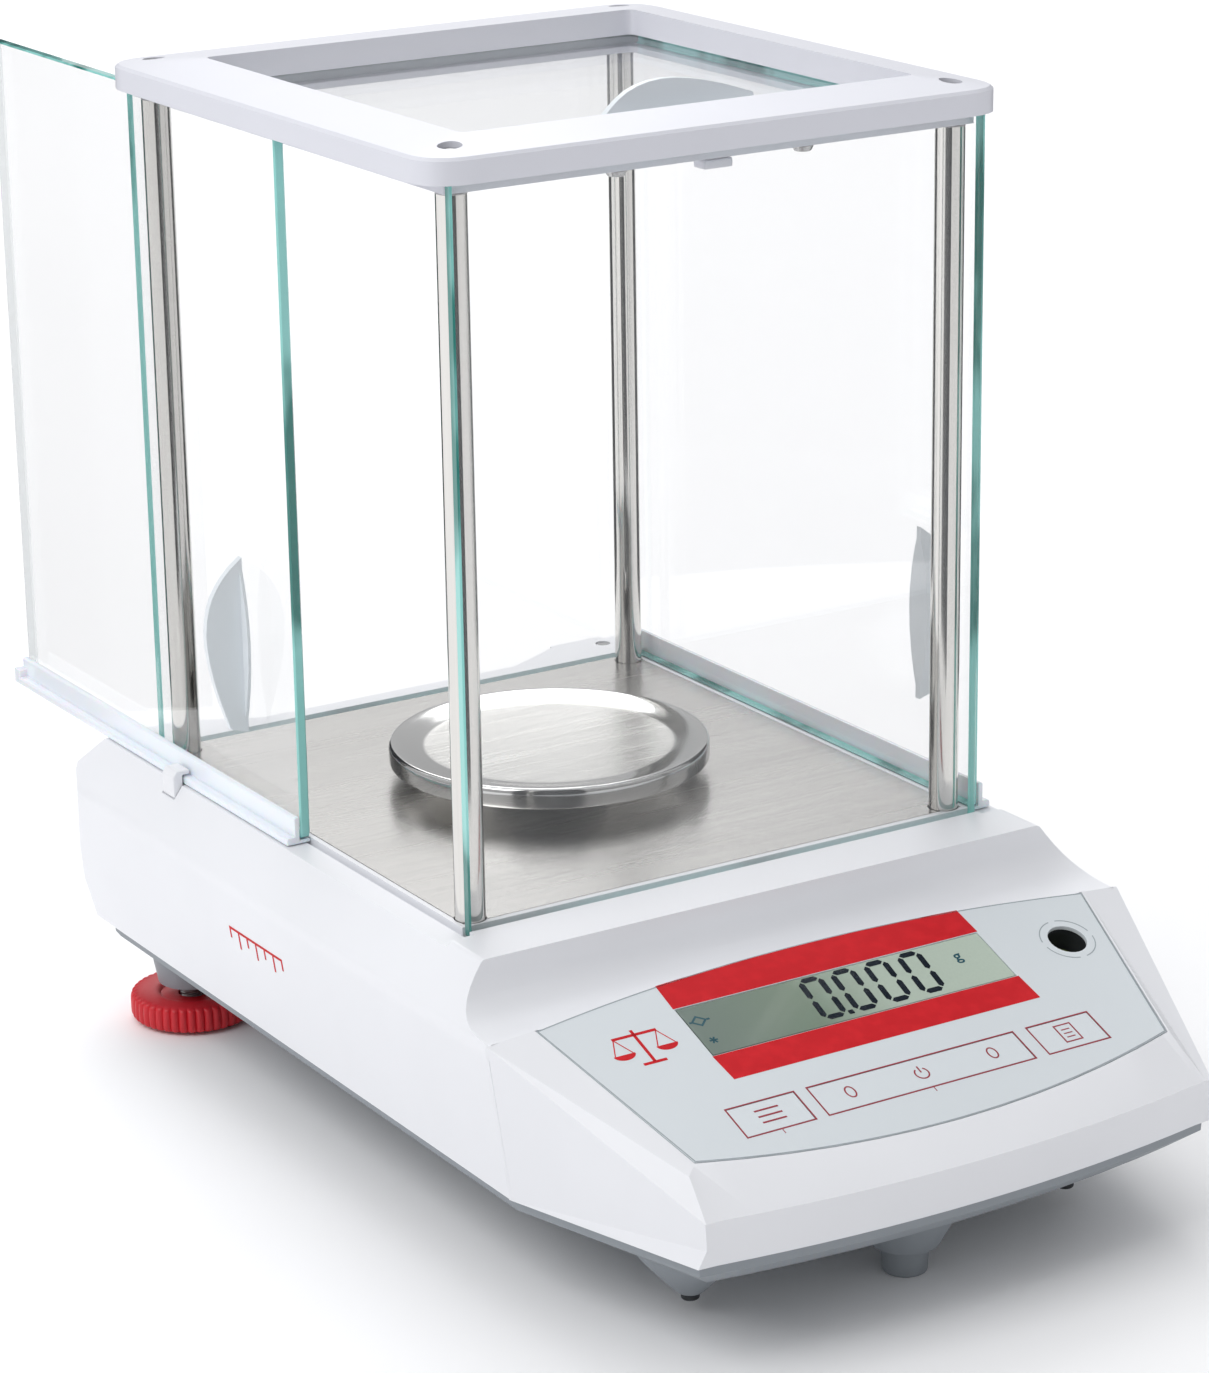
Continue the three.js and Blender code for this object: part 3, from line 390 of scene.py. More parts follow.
def tidy_mesh(name, points, faces, marks=None):
    """Mesh from points and faces: coinciding points merged, flat faces dropped, normals out."""
    mesh = bpy.data.meshes.new(name)
    mesh.from_pydata(np.asarray(points).reshape(-1, 3).tolist(), [], [list(face) for face in faces])
    if marks is not None:
        mesh.polygons.foreach_set("material_index", np.asarray(marks, np.int32))
    work = bmesh.new()
    work.from_mesh(mesh)
    bmesh.ops.remove_doubles(work, verts=work.verts, dist=1e-7)
    bmesh.ops.dissolve_degenerate(work, edges=work.edges, dist=1e-8)
    bmesh.ops.recalc_face_normals(work, faces=work.faces)
    work.to_mesh(mesh)
    work.free()
    return mesh


# %% [markdown]
# ## Soft mould edges
# No moulded part has a knife edge: the tool's corners are rounded by half a millimetre or
# so, and that round catches a thin line of light. The CAD solid is right in shape but sharp,
# so a copy of it is merged, its flat faces are joined, and a Bevel modifier rounds every
# edge that turns by more than an angle. The CAD node itself is only hidden.
#
# A flat face that runs round an opening is C-shaped once it is joined up, and a bevel can
# pull it shut across the opening. Nothing warns of that: the opening just turns dark. So
# such a part keeps its ring faces as triangles, and each finished copy's area is compared
# with the CAD's. A bevel only trims edges, so the area may fall a little but never grow.

# %% Soften a CAD shape
BODY_OF = {node: body for body, nodes in frame["record"]["behaviour"]["bodies"].items() for node in nodes}


RING_NODES = {"top_frame"}  # their joined faces run round an opening
RING_CORNERS = 8  # a joined face with more corners than this is cut into triangles
AREA_GROWTH = 1.02  # the most a softened copy's area may be of its CAD node's


def area_of(mesh):
    """Sum of the triangles' areas: half the length of two sides' cross product."""
    mesh.calc_loop_triangles()
    points = np.zeros(len(mesh.vertices) * 3)
    corners = np.zeros(len(mesh.loop_triangles) * 3, np.int32)
    mesh.vertices.foreach_get("co", points)
    mesh.loop_triangles.foreach_get("vertices", corners)
    a, b, c = np.moveaxis(points.reshape(-1, 3)[corners.reshape(-1, 3)], 1, 0)
    return np.linalg.norm(np.cross(b - a, c - a), axis=1).sum() / 2


def soften(node, slot, width, segments=3, turn=22, finish=None):
    """Copy of a CAD node with every edge sharper than turn degrees rounded over width mm."""
    work = bmesh.new()
    work.from_mesh(frame["nodes"][node].data)
    bmesh.ops.remove_doubles(work, verts=work.verts, dist=1e-6)
    bmesh.ops.dissolve_limit(work, angle_limit=math.radians(0.5), verts=work.verts, edges=work.edges)
    if node in RING_NODES:
        bmesh.ops.triangulate(work, faces=[face for face in work.faces if len(face.verts) > RING_CORNERS])
    mesh = bpy.data.meshes.new(f"{node}_soft")
    work.to_mesh(mesh)
    work.free()
    made = add_piece(f"{node}_soft", mesh, BODY_OF[node], finish or FINISHES[slot], [node], 50)
    rounding = made.modifiers.new("Rounding", "BEVEL")
    rounding.width = width * MM
    rounding.segments = segments
    rounding.limit_method = "ANGLE"
    rounding.angle_limit = math.radians(turn)
    made.modifiers.new("Flat faces", "WEIGHTED_NORMAL").keep_sharp = True
    return made


# %% Mouldings
MOULDINGS = [
    ("top_housing", "housing_white", 1.0), ("lower_casing", "casing_grey", 0.6),
    ("top_frame", "frame_white", 0.8), ("guide_frame", "frame_white", 0.5),
    ("left_door_clip", "housing_white", 0.4), ("right_door_clip", "housing_white", 0.4),
    ("left_door_rail", "rail_white", 0.25), ("right_door_rail", "rail_white", 0.25),
    ("left_door_grip", "grip_grey", 0.5), ("right_door_grip", "grip_grey", 0.5),
    ("top_door_grip", "grip_grey", 0.5), ("stop_block", "frame_white", 0.5),
    ("hook_cover", "casing_grey", 0.5), ("front_foot", "casing_grey", 0.6),
    ("tilt_pin_left", "fitting_black", 0.5), ("tilt_pin_right", "fitting_black", 0.5),
    ("keypad_film", "keypad_film", 0.12), ("key_unit", "key_film", 0.1),
    ("key_zero_tare", "key_film", 0.1), ("key_print", "key_film", 0.1),
    ("display_window", "display_pane", 0.1), ("dc_inlet", "fitting_black", 0.3),
    ("serial_port", "fitting_black", 0.3),
]
for node, slot, width in MOULDINGS:
    soften(node, slot, width)
print("softened mouldings", len(MOULDINGS))

# %% Metal parts with eased edges
METAL_PARTS = [("floor_plate", "floor_steel", 0.25)]
METAL_PARTS += [(f"frame_screw_{end}_{side}", "screw_steel", 0.25)
                for end in ("front", "rear") for side in ("left", "right")]
METAL_PARTS += [(f"{kind}_{side}", "screw_steel", 0.2)
                for kind in ("guide_screw", "deck_screw") for side in ("left", "right")]
METAL_PARTS += [("weigh_cell_frame", "cell_alloy", 0.6), ("weigh_cell_lever", "cell_alloy", 0.6),
                ("weigh_cell_magnet", "stud_steel", 0.6), ("pan_support", "cell_alloy", 0.4),
                ("main_board", "board_green", 0.15), ("display_board", "board_green", 0.15),
                ("lcd_module", "fitting_black", 0.3)]
for node, slot, width in METAL_PARTS:
    soften(node, slot, width)
print("eased metal parts", len(METAL_PARTS))

# %% No opening pulled shut
evaluated = bpy.context.evaluated_depsgraph_get()
growth = {}
for node, slot, width in MOULDINGS + METAL_PARTS:
    finished = bpy.data.objects[f"{node}_soft"].evaluated_get(evaluated).to_mesh()
    growth[node] = area_of(finished) / area_of(frame["nodes"][node].data)
worst = max(growth, key=growth.get)
print("largest area against the CAD", worst, round(growth[worst], 3))
assert growth[worst] < AREA_GROWTH, f"the bevel has closed or folded {worst}"

# %% [markdown]
# ## Panes
# A pane is a rectangle with two small bevels round its rim, left by the grinding wheel. The
# outline is carried through the glass's thickness in four steps: drawn in, full, full and
# drawn in. The two broad faces are clear, and everything between them is ground edge. The
# edge a hand reaches for is ground and green, and the hidden rear edge is coloured pale and
# half see-through: painted light.

# %% Ground glass panes
def rounded_loop(half_a, half_b, radius, steps=5):
    """Rectangle outline: each corner's centre plus radius times (cosine, sine) of its quarter turn."""
    turn = np.linspace(0, np.pi / 2, steps)
    angles = np.concatenate([turn + quarter * np.pi / 2 for quarter in range(4)])
    signs = np.repeat([[1, 1], [-1, 1], [-1, -1], [1, -1]], steps, axis=0)
    centres = signs * np.array([half_a - radius, half_b - radius])
    return centres + radius * np.stack([np.cos(angles), np.sin(angles)], -1)


REAR_EDGE = 1.0  # mm from a pane's rear end that count as its rear edge


def pane(node, body, chamfer=0.45, corner=1.2):
    """Slab of glass: the outline at four depths, drawn in by the chamfer at both faces."""
    low, high = (np.array(end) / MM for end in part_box(node))
    half, middle = (high - low) / 2, (high + low) / 2
    thin = int(np.argmin(half))
    a, b = [axis for axis in range(3) if axis != thin]
    rings = []
    for depth, inset in ((-1, chamfer), (-1, 0), (1, 0), (1, chamfer)):
        loop = rounded_loop(half[a] - inset, half[b] - inset, corner)
        ring = np.zeros((len(loop), 3))
        ring[:, a], ring[:, b] = loop.T
        ring[:, thin] = depth * (half[thin] - (chamfer if inset == 0 else 0))
        rings.append(ring)
    count = len(rings[0])
    sides = grid_faces(4, count, close_columns=True)
    caps = [list(range(count)), list(range(3 * count, 4 * count))]
    faces = [list(face) for face in sides] + caps
    reach = np.concatenate(rings)[sides][:, :, 1].mean(1) if thin != 1 else np.zeros(len(sides))
    # faces at the rear end take the pale edge colour, which is painted light
    marks = [1 + int(y > half[1] - REAR_EDGE) for y in reach] + [0, 0]
    mesh = tidy_mesh(f"{node}_pane", (np.concatenate(rings) + middle) * MM, faces, marks)
    return add_piece(f"{node}_pane", mesh, body,
                     [FINISHES[key] for key in ("pane_glass", "pane_edge", "pane_edge_painted_light")], [node], 25)


for node in ("front_glass", "rear_glass", "left_door_glass", "right_door_glass", "top_door_glass"):
    pane(node, BODY_OF[node])
print("panes", 5)

# %% [markdown]
# ## Turned parts
# A lathe part is one outline of (radius, height) pairs spun about an upright axis. Cutting
# the outline's corners a few times turns a coarse drawing into a smooth one. Ribs and
# threads are the same grid with the radius changed by the angle.

# %% Turning helpers
def ease_corners(outline, rounds=2, share=0.22):
    """Corner cutting: each inner corner becomes two points, a share of the way along its sides."""
    line = np.asarray(outline, float)
    for _ in range(rounds):
        ahead = line[:-1] * (1 - share) + line[1:] * share
        back = line[:-1] * share + line[1:] * (1 - share)
        inner = np.stack([ahead, back], 1).reshape(-1, 2)
        line = np.concatenate([line[:1], inner[1:-1], line[-1:]])
    return line


def spin(outline, x, y, segments=96, ripple=None):
    """Grid of (x + r cos a, y + r sin a, z) for every outline point and every angle a."""
    outline = np.asarray(outline, float)
    angle = np.linspace(0, 2 * np.pi, segments, endpoint=False)
    radius = np.repeat(outline[:, :1], segments, axis=1)
    height = np.repeat(outline[:, 1:], segments, axis=1)
    if ripple is not None:
        radius = ripple(radius, angle[None, :], height)
    return np.stack([x + radius * np.cos(angle), y + radius * np.sin(angle), height], -1)


def turned(name, outline, x, y, body, slot, replaces, segments=96, ripple=None, closed=False, sharp=35):
    """Lathe part in chamber millimetres; closed joins the last outline point to the first."""
    points = spin(outline, x, y, segments, ripple)
    faces = grid_faces(len(outline), segments, close_rows=closed, close_columns=True)
    mesh = tidy_mesh(name, in_chamber(points), faces)
    return add_piece(name, mesh, body, FINISHES[slot], replaces, sharp)


def chamber_box(node):
    """A CAD node's box in chamber millimetres."""
    low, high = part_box(node)
    return (np.array(low) - CHAMBER) / MM, (np.array(high) - CHAMBER) / MM


# %% Pillars
for end in ("front", "rear"):
    for side in ("left", "right"):
        node = f"pillar_{end}_{side}"
        low, high = chamber_box(node)
        r = (high[0] - low[0]) / 2
        x, y = (low[:2] + high[:2]) / 2
        tube = [(1.9, low[2]), (r - 0.3, low[2]), (r, low[2] + 0.3), (r, high[2] - 0.3),
                (r - 0.3, high[2]), (1.9, high[2])]
        turned(f"{node}_tube", tube, x, y, "base", "pillar_steel", [node], 96, closed=True)
print("pillars", 4)

# %% [markdown]
# ## Weighing pan
# The pan is pressed from sheet steel: a flat brushed middle, a polished rim that rises
# gently, a rolled edge and a short upright skirt. Its underside is open, with the skirt
# turned down round it.

# %% Pan
pan_low, pan_high = chamber_box("pan")
PAN_X, PAN_Y = (pan_low[:2] + pan_high[:2]) / 2
PAN_OUTLINE = np.concatenate([
    [(0, 8.9)],
    ease_corners([(33, 8.9), (35.4, 9.0), (43.2, 10.4), (44.0, 9.8), (44.1, 5.6), (44.5, 5.3),
                  (45, 5.7), (45, 9.8), (44.5, 11.0), (43.4, 11.28), (35.6, 9.75), (33, 9.6)], 3),
    [(0, 9.6)],
])
turned("pan_dish", PAN_OUTLINE, PAN_X, PAN_Y, "pan", "pan_steel", ["pan"], 160, sharp=50)
print("pan outline points", len(PAN_OUTLINE))

# %% [markdown]
# ## Levelling feet
# Each rear foot is a red hand wheel on a threaded stud over a rubber pad. The wheel's rim
# has rounded ribs for the fingers: its radius rises and falls with the angle, but only near
# the full radius, so the hub stays round. The stud's thread is a ridge that climbs one
# pitch a turn, so its radius depends on the height less the angle's share of a pitch.

# %% Feet
RIBS, RIB_DEPTH = 44, 0.8
PITCH, THREAD_DEPTH = 1.25, 0.55


def ribbed(radius, angle, height):
    """Radius less the rib depth times a rounded wave, faded out inside the rim, at any height."""
    rim = np.clip((radius - 15.5) / 2.5, 0, 1)
    wave = np.abs(np.sin(angle * RIBS / 2)) ** 0.7
    return radius - RIB_DEPTH * rim * (1 - wave)


def threaded(radius, angle, height):
    """Full radius less a triangle wave of the height, shifted by one pitch for each turn."""
    phase = (height / PITCH - angle / (2 * np.pi)) % 1
    ridge = np.abs(phase * 2 - 1)
    return radius - THREAD_DEPTH * ridge * (radius > 2)


for side in ("left", "right"):
    low, high = chamber_box(f"{side}_foot_wheel")
    x, y = (low[:2] + high[:2]) / 2
    R, z0, z1 = (high[0] - low[0]) / 2, low[2], high[2]
    wheel = np.concatenate([
        [(4.4, z1 - 1.4)],
        ease_corners([(9.5, z1 - 1.4), (10.2, z1), (R - 1.2, z1), (R, z1 - 1.1), (R, z0 + 1.1),
                      (R - 1.2, z0), (10.2, z0), (9.9, z0 + 2.3), (4.4, z0 + 2.3)], 2),
    ])
    turned(f"{side}_foot_hand_wheel", wheel, x, y, f"{side}_foot_wheel", "foot_red",
           [f"{side}_foot_wheel"], RIBS * 8, ribbed, True, 40)
    s_low, s_high = chamber_box(f"{side}_foot_stud")
    rows = np.linspace(s_low[2] + 0.01, s_high[2] - 0.01, 160)
    stud = [(0, rows[0]), *[(4.0, z) for z in rows], (0, rows[-1])]
    turned(f"{side}_foot_threaded_stud", stud, x, y, f"{side}_foot_wheel", "stud_steel",
           [f"{side}_foot_stud"], 48, threaded, sharp=60)
    p_low, p_high = chamber_box(f"{side}_foot_pad")
    pad = np.concatenate([[(0, p_high[2])], ease_corners([
        (4, p_high[2]), (8.6, p_high[2]), (9.4, p_high[2] - 0.8), (9.4, p_low[2] + 1.0),
        (8.4, p_low[2]), (7.2, p_low[2]), (6.9, p_low[2] + 0.4), (4.2, p_low[2] + 0.4)], 2),
        [(0, p_low[2] + 0.4)]])
    turned(f"{side}_foot_rubber_pad", pad, x, y, f"{side}_foot_pad", "foot_rubber",
           [f"{side}_foot_pad"], 64)
print("feet", 2)

# %% Fairings round the tilt pins
FAIRING = ease_corners([
    (0, -62.5), (15, -62.5), (14.2, -66), (9.5, -71.5), (4.2, -77.2), (3.0, -78.2), (0, -78.2)], 2)
for side in ("left", "right"):
    low, high = chamber_box(f"tilt_pin_{side}")
    x, y = (low[:2] + high[:2]) / 2
    turned(f"tilt_fairing_{side}", FAIRING, x, y, "base", "casing_grey", [], 64)
print("fairings", 2)

# %% [markdown]
# ## Level
# The bull's-eye level sits in a deep black cup beside the display. Its vial is filled with
# liquid under a domed glass, and a bubble floats against the dome inside a ring.

# %% Level
LEVEL_U, LEVEL_V = 69.2, 40.0


def panel_turned(name, outline, slot, replaces, finish=None, segments=64, closed=False):
    """Lathe part about an axis that stands on the keypad at the level's centre."""
    points = spin(outline, LEVEL_U, LEVEL_V, segments)
    faces = grid_faces(len(outline), segments, close_rows=closed, close_columns=True)
    mesh = tidy_mesh(name, on_panel(points), faces)
    return add_piece(name, mesh, "base", finish or FINISHES[slot], replaces)


cup = ease_corners([
    (0, -13), (7.5, -13), (7.5, -2.0), (6.1, -1.9), (5.9, -2.4), (5.9, -12), (0, -12)], 1, 0.1)
vial = ease_corners([(0, -11.7), (5.6, -11.7), (5.6, -7.6), (4.2, -6.7), (0, -6.3)], 2)
bubble = [(1.5 * math.sin(t), -6.9 - 0.35 * math.cos(t)) for t in np.linspace(math.pi, 0, 13)]
ring = [(2.9 + 0.12 * math.cos(t), -6.45 + 0.1 * math.sin(t)) for t in np.linspace(0, 2 * math.pi, 9)[:-1]]
panel_turned("level_black_cup", cup, "fitting_black", ["level_cup"])
panel_turned("level_filled_vial", vial, "level_liquid", ["level_vial"])
panel_turned("level_bubble", bubble, "level_liquid", [], segments=32)
panel_turned("level_ring", ring, "fitting_black", [], segments=48, closed=True)

# %% [markdown]
# ## Printing
# Ink is a few hundredths of a millimetre thick here, so it has an edge. Lines are a
# flat bar carried along a path. Filled areas are an outline given a little thickness.
# The display's unit letter starts as Blender's own font, is made a mesh, and is then laid on.

# %% Print helpers
INK = 0.03  # thickness of a print
FILM_SKIN = 0.01  # the prints start just under this height above the film


def print_line(path, width, closed=True):
    """Flat bar along a path: each point moved sideways by half the width, at two heights."""
    path = np.asarray(path, float)
    if closed:
        before, after = np.roll(path, 1, 0), np.roll(path, -1, 0)
    else:
        before = np.concatenate([path[:1], path[:-1]])
        after = np.concatenate([path[1:], path[-1:]])
    first, second = path - before, after - path
    first[np.all(first == 0, 1)] = second[np.all(first == 0, 1)]
    second[np.all(second == 0, 1)] = first[np.all(second == 0, 1)]
    sides = [np.stack([-leg[:, 1], leg[:, 0]], -1) / np.linalg.norm(leg, axis=1)[:, None]
             for leg in (first, second)]
    mitre = sides[0] + sides[1]
    mitre /= (mitre * sides[0]).sum(1)[:, None]
    corners = [(-1, 0), (1, 0), (1, INK), (-1, INK)]
    rings = np.stack([np.column_stack([path + mitre * across * width / 2,
                                       np.full(len(path), FILM_SKIN + height)])
                      for across, height in corners], 1)
    faces = [list(f) for f in grid_faces(len(path), 4, close_rows=closed, close_columns=True)]
    if not closed:
        faces += [[0, 1, 2, 3], [len(path) * 4 - 4 + k for k in (3, 2, 1, 0)]]
    return rings.reshape(-1, 3), faces


def print_area(outline, thickness=INK):
    """Filled outline: the same loop at two heights, sides between them and a face on each."""
    loop = np.asarray(outline, float)
    count = len(loop)
    levels = [np.column_stack([loop, np.full(count, FILM_SKIN + h)]) for h in (0, thickness)]
    faces = [list(f) for f in grid_faces(2, count, close_columns=True)]
    return np.concatenate(levels), faces + [list(range(count)), list(range(count, 2 * count))]


def join_shapes(shapes):
    """Several (points, faces) pairs as one, with the face numbers moved along."""
    points, faces, start = [], [], 0
    for one_points, one_faces in shapes:
        points.append(one_points)
        faces += [[start + k for k in face] for face in one_faces]
        start += len(one_points)
    return np.concatenate(points), faces


def printed(name, shapes, colour, body="base", place=on_panel):
    """Prints in a surface's own millimetres, put in place as one piece."""
    points, faces = join_shapes(shapes)
    mesh = tidy_mesh(name, place(points), faces)
    return add_piece(name, mesh, body, INKS[colour], sharp=30)


def lettering(words, size, centre, weight=0.0):
    """Words in the built-in font as a flat solid, centred on (u, v)."""
    font = bpy.data.curves.new(words, "FONT")
    font.body, font.size = words, size
    font.align_x, font.align_y = "CENTER", "CENTER"
    font.extrude, font.offset, font.resolution_u = INK / 2, weight, 3
    holder = bpy.data.objects.new(words, font)
    bpy.context.scene.collection.objects.link(holder)
    bpy.context.view_layer.update()
    mesh = bpy.data.meshes.new_from_object(holder.evaluated_get(bpy.context.evaluated_depsgraph_get()))
    points = np.zeros(len(mesh.vertices) * 3)
    mesh.vertices.foreach_get("co", points)
    faces = [list(face.vertices) for face in mesh.polygons]
    bpy.data.objects.remove(holder)
    bpy.data.meshes.remove(mesh)
    points = points.reshape(-1, 3) + [centre[0], centre[1], FILM_SKIN + INK / 2]
    return points, faces


# %% [markdown]
# ## Keypad prints
# The film has a fine grey outline that bows forward at its front edge. The red band runs
# above and below the display and follows the film's crowned back edge. The keys carry plain
# signs instead of words: three bars, a ring for nought, the power sign and a printed sheet.

# %% Film outline, band and key outlines
FILM_LOW, FILM_HIGH, FILM_DEPTH = 72.1, 84.7, 55.0
FRONT_BOW, BACK_BOW = 9.3, 7.0
s = np.linspace(-1, 1, 41)
front_edge = np.column_stack([(FILM_LOW - 0.25) * s, 0.25 - FRONT_BOW * (1 - s * s)])
back_edge = np.column_stack([(FILM_HIGH - 0.25) * s, FILM_DEPTH - 0.25 + BACK_BOW * (1 - s * s)])[::-1]
printed("film_outline", [print_line(np.concatenate([front_edge, back_edge]), 0.35)], "outline_grey")

BAND = 47.3
w = np.linspace(-BAND, BAND, 25)
band_top = np.column_stack([w * 0.993, 61.6 - 1.6 * (w / BAND) ** 2])[::-1]
upper = np.concatenate([[(-BAND, 50.7), (BAND, 50.7)], band_top])
lower = np.array([(-BAND * 0.985, 22.6), (BAND * 1.01, 22.6), (BAND, 31.8), (-BAND, 31.8)])
printed("display_band", [print_area(upper), print_area(lower)], "band_red")

KEYS = {"key_unit": (-55, -34.8), "key_zero_tare": (-31, 32.5), "key_print": (36.7, 56.2)}
key_frames = []
for u0, u1 in KEYS.values():
    corners = np.array([(u0, 3.0), (u1, 3.0), (u1, 13.7), (u0, 13.7)])
    key_frames.append(print_line(corners, 0.42))
ticks = [print_line([(-45, 1.3), (-45, 2.7)], 0.25, False), print_line([(0.4, 1.3), (0.4, 2.7)], 0.25, False)]
printed("key_outlines", key_frames + ticks, "label_red")

# %% Key signs
turn = np.linspace(0, 2 * np.pi, 40, endpoint=False)
gap = np.linspace(math.radians(125), math.radians(415), 30)
power_arc = np.column_stack([0.5 + 1.9 * np.cos(gap), 8.3 + 1.9 * np.sin(gap)])
power_sign = [print_line(power_arc, 0.42, False), print_line([(0.5, 8.6), (0.5, 10.9)], 0.42, False)]
menu_bars = [print_line([(-48.4, v), (-41.4, v)], 0.55, False) for v in (10.6, 8.5, 6.4)]
printed("label_unit", menu_bars, "label_red", "key_unit")
zero_rings = [print_line(np.column_stack([u + 1.3 * np.cos(turn), 8.6 + 1.9 * np.sin(turn)]), 0.42)
              for u in (-21, 22.6)]
printed("label_zero_tare", zero_rings + power_sign, "label_red", "key_zero_tare")
sheet = [print_line([(44.0, 5.4), (49.0, 5.4), (49.0, 11.6), (44.0, 11.6)], 0.42)]
sheet += [print_line([(45.2, v), (47.8, v)], 0.35, False) for v in (9.8, 8.4, 7.0)]
printed("label_print", sheet, "label_red", "key_print")

# %% [markdown]
# ## Display
# Each figure is made of seven bars with pointed ends, leaning a little to the right. A zero
# lights six of them. All bars are one small outline, moved and turned by arrays.

# %% Display figures
FIGURE_W, FIGURE_H, BAR = 5.9, 14.3, 1.75
LEAN = 0.075


def bar(x0, y0, x1, y1):
    """Pointed bar from one end to the other: six corners round its middle line."""
    start, end = np.array([x0, y0]), np.array([x1, y1])
    along = (end - start) / np.linalg.norm(end - start)
    across = np.array([-along[1], along[0]]) * BAR / 2
    tip = along * BAR / 2
    return np.array([start, start + tip + across, end - tip + across,
                     end, end - tip - across, start + tip - across])


def zero(u, v):
    """Six bars of a nought whose lower left corner is at (u, v), sheared to the right."""
    w, h, g = FIGURE_W, FIGURE_H, 0.35
    ends = [(g, 0, w - g, 0), (g, h, w - g, h), (0, g, 0, h / 2 - g), (0, h / 2 + g, 0, h - g),
            (w, g, w, h / 2 - g), (w, h / 2 + g, w, h - g)]
    bars = [bar(*one) for one in ends]
    return [print_area(b @ [[1, 0], [LEAN, 1]] + [u, v]) for b in bars]


figures = [shape for u in (-11.3, -1.4, 8.9, 19.5) for shape in zero(u, 34.6)]
point = rounded_loop(0.8, 0.75, 0.3) + [-3.6, 34.5]
printed("display_figures", figures + [print_area(point)], "segment_ink")
diamond = print_line(np.array([(-46, 44.6), (-44, 46.3), (-42, 44.6), (-44, 42.9)]) + [0.6, 0], 0.55)
dashes = [print_line([(start, 44.6), (stop, 44.6)], 0.6, False)
          for start, stop in ((-46.2, -45.6), (-41.1, -40.2))]
star = [print_line([(-43.6 - 1.2 * math.cos(a), 37.1 - 1.2 * math.sin(a)),
                    (-43.6 + 1.2 * math.cos(a), 37.1 + 1.2 * math.sin(a))], 0.5, False)
        for a in np.radians([0, 60, 120])]
printed("display_symbols", [diamond] + dashes + star + [lettering("g", 5.2, (36, 44), 0.08)],
        "symbol_ink")

# %% Level ring print
RING_R = 7.5
arcs = []
for start in (8, 98, 188, 278):
    sweep = np.radians(np.linspace(start, start + 74, 16))
    arc = np.column_stack([LEVEL_U + RING_R * np.cos(sweep), LEVEL_V + RING_R * np.sin(sweep)])
    arcs.append(print_line(arc, 0.3, False))
printed("level_ring_print", arcs, "outline_grey")

# %% Plain marks
RULE = 0.9
MARK_U, MARK_V = -62.0, 41.0  # a small pair of scales beside the display
half_turn = np.linspace(math.pi, 2 * math.pi, 17)
mark = [print_line([(MARK_U - 6.5, MARK_V + 4.6), (MARK_U + 6.5, MARK_V + 4.6)], RULE, False),
        print_line([(MARK_U, MARK_V + 6.4), (MARK_U, MARK_V - 5.8)], RULE, False),
        print_line([(MARK_U - 3.4, MARK_V - 6.0), (MARK_U + 3.4, MARK_V - 6.0)], RULE, False)]
for side in (-1, 1):
    hang = MARK_U + side * 6.2
    dish_v = MARK_V - 1.2
    mark += [print_line([(hang, MARK_V + 4.4), (hang + reach, dish_v)], 0.3, False) for reach in (-2.6, 2.6)]
    dish = np.column_stack([hang + 3.1 * np.cos(half_turn), dish_v + 2.0 * np.sin(half_turn)])
    mark.append(print_area(dish))
printed("panel_mark", mark, "band_red")

SIDE_LEAN = math.atan(0.145)  # the housing's side leans in below its crest line
SIDE_MARK = np.array([-95.78, 0.0, -30.5])


def on_side(points):
    """Millimetres (u forwards, v up, w outwards) on the housing's left face, as metres."""
    u, v, w = np.moveaxis(np.asarray(points, float), -1, 0)[..., None]
    rise = np.array([-math.sin(SIDE_LEAN), 0, math.cos(SIDE_LEAN)])
    outward = np.array([-math.cos(SIDE_LEAN), 0, -math.sin(SIDE_LEAN)])
    return in_chamber(SIDE_MARK + u * np.array([0, -1.0, 0]) + v * rise + w * outward)


scale_ticks = [print_line([(u, -3.2 if u % 10 == 0 else -1.2), (u, 1.6)], 0.8, False)
               for u in range(-15, 16, 5)]
scale_ticks.append(print_line([(-15.4, 2.0), (15.4, 2.0)], 0.8, False))
printed("side_mark", scale_ticks, "band_red", place=on_side)

# %% [markdown]
# ## Stage
# The floor and the light are a white product table: a wide matt floor, a bright sky mostly
# from above, and two large soft lamps. Steel needs something dark to show its shape, so dark
# cards stand round the balance where only reflections find them.

# %% Floor and world
scene = bpy.context.scene
scene.view_settings.view_transform = "Standard"
scene.cycles.transparent_max_bounces = 40

floor_mesh = tidy_mesh("floor", [(-14, -14, 0), (14, -14, 0), (14, 14, 0), (-14, 14, 0)], [[0, 1, 2, 3]])
floor = bpy.data.objects.new("floor", floor_mesh)
scene.collection.objects.link(floor)
paper = Finish("floor_paper", 0xFAFAFB, 0.9, Specular_IOR_Level=0.0)
floor_mesh.materials.append(paper.material)

world = bpy.data.worlds.new("studio")
world.use_nodes = True
scene.world = world
tree = world.node_tree
direction = tree.nodes.new("ShaderNodeTexCoord")
split = tree.nodes.new("ShaderNodeSeparateXYZ")
ramp = tree.nodes.new("ShaderNodeMapRange")
lean = tree.nodes.new("ShaderNodeVectorMath")
lean.operation = "DOT_PRODUCT"
lean.inputs[1].default_value = (-0.1, 0.3, 0.95)
tree.links.new(direction.outputs["Generated"], lean.inputs[0])
tree.links.new(lean.outputs["Value"], ramp.inputs["Value"])
ramp.inputs["From Min"].default_value = -0.8
ramp.inputs["From Max"].default_value = 0.9
ramp.inputs["To Min"].default_value = 0.0
ramp.inputs["To Max"].default_value = 0.88
tree.links.new(ramp.outputs["Result"], tree.nodes["Background"].inputs["Strength"])
tree.nodes["Background"].inputs["Color"].default_value = (0.985, 0.99, 1.0, 1)


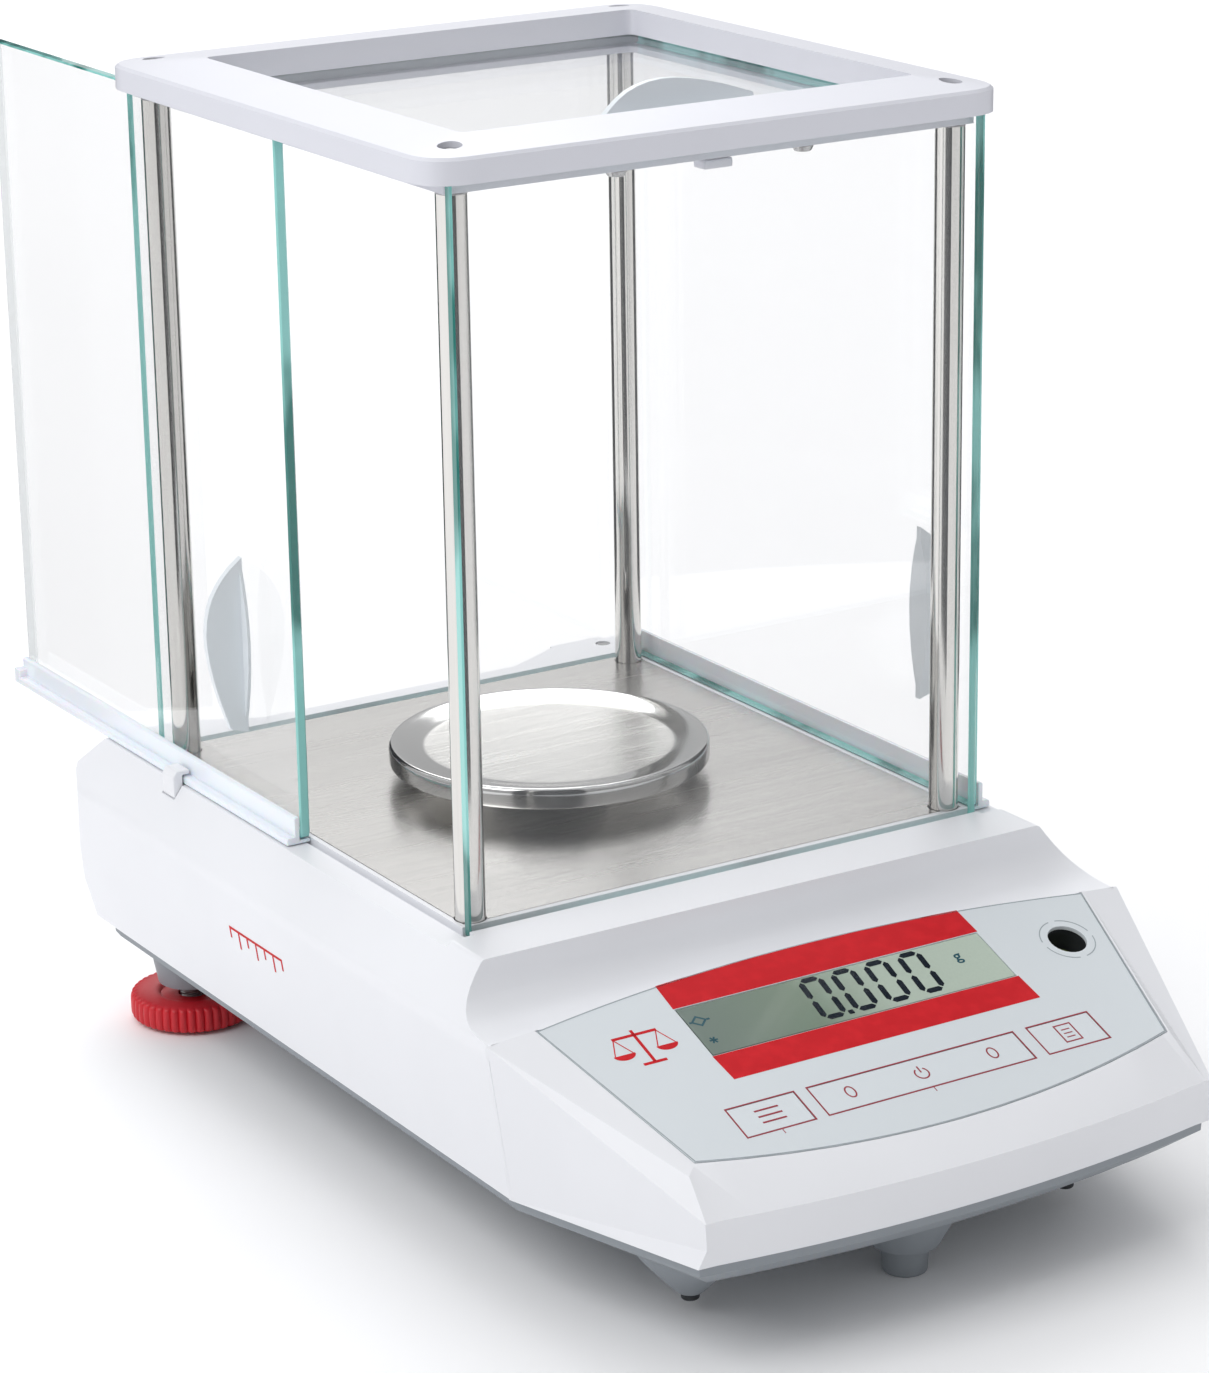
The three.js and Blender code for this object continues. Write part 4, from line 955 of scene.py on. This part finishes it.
def lamp(name, place, aim, size, watts):
    """Square soft lamp at a place, turned towards a point."""
    light = bpy.data.lights.new(name, "AREA")
    light.energy, light.size = watts, size
    made = bpy.data.objects.new(name, light)
    scene.collection.objects.link(made)
    made.location = place
    made.rotation_euler = (Vector(aim) - Vector(place)).to_track_quat("-Z", "Y").to_euler()


lamp("key_lamp", (-1.6, -0.2, 1.9), (0, 0, 0.1), 1.4, 17.5)
lamp("back_lamp", (0.6, 1.9, 2.2), (0, 0, 0.1), 1.8, 32)

# %% Dark cards for reflections
CARD_RADIUS, CARD_HIGH = 0.42, 0.9
card_finish = Finish("card_black", 0x303236, 0.9)
for number, (start, stop) in enumerate(((212, 262), (352, 385), (84, 122))):
    sweep = np.radians(np.linspace(start, stop, 12))
    wall = np.stack([np.stack([CARD_RADIUS * np.cos(sweep), CARD_RADIUS * np.sin(sweep), np.full(12, z)], -1)
                     for z in (0.0, CARD_HIGH)])
    mesh = tidy_mesh(f"card_{number}", wall, grid_faces(2, 12))
    mesh.materials.append(card_finish.material)
    card = bpy.data.objects.new(f"card_{number}", mesh)
    scene.collection.objects.link(card)
    card.visible_camera = card.visible_diffuse = card.visible_shadow = False
    card.visible_transmission = False

# %% [markdown]
# ## Camera
# A long lens from the front left, a little above, so that the uprights hardly converge. Its
# place is given in millimetres from the chamber's middle.

# %% Camera
LENS, TURN, LIFT, TILT = 110.18, math.radians(-31.7724), math.radians(18.0191), math.radians(-0.915)
EYE = (-572.85, -951.28, 387.74)
right = np.array([math.cos(TURN), math.sin(TURN), 0])
back = np.array([math.sin(TURN) * math.cos(LIFT), -math.cos(TURN) * math.cos(LIFT), math.sin(LIFT)])
up = np.cross(back, right)
across = right * math.cos(TILT) + up * math.sin(TILT)
upright = up * math.cos(TILT) - right * math.sin(TILT)
camera_data = bpy.data.cameras.new("camera")
camera_data.lens, camera_data.sensor_width = LENS, 36
camera = bpy.data.objects.new("camera", camera_data)
scene.collection.objects.link(camera)
matrix = np.eye(4)
matrix[:3, :3] = np.column_stack([across, upright, back])
matrix[:3, 3] = in_chamber(EYE)
camera.matrix_world = Matrix(matrix.tolist())
scene.camera = camera
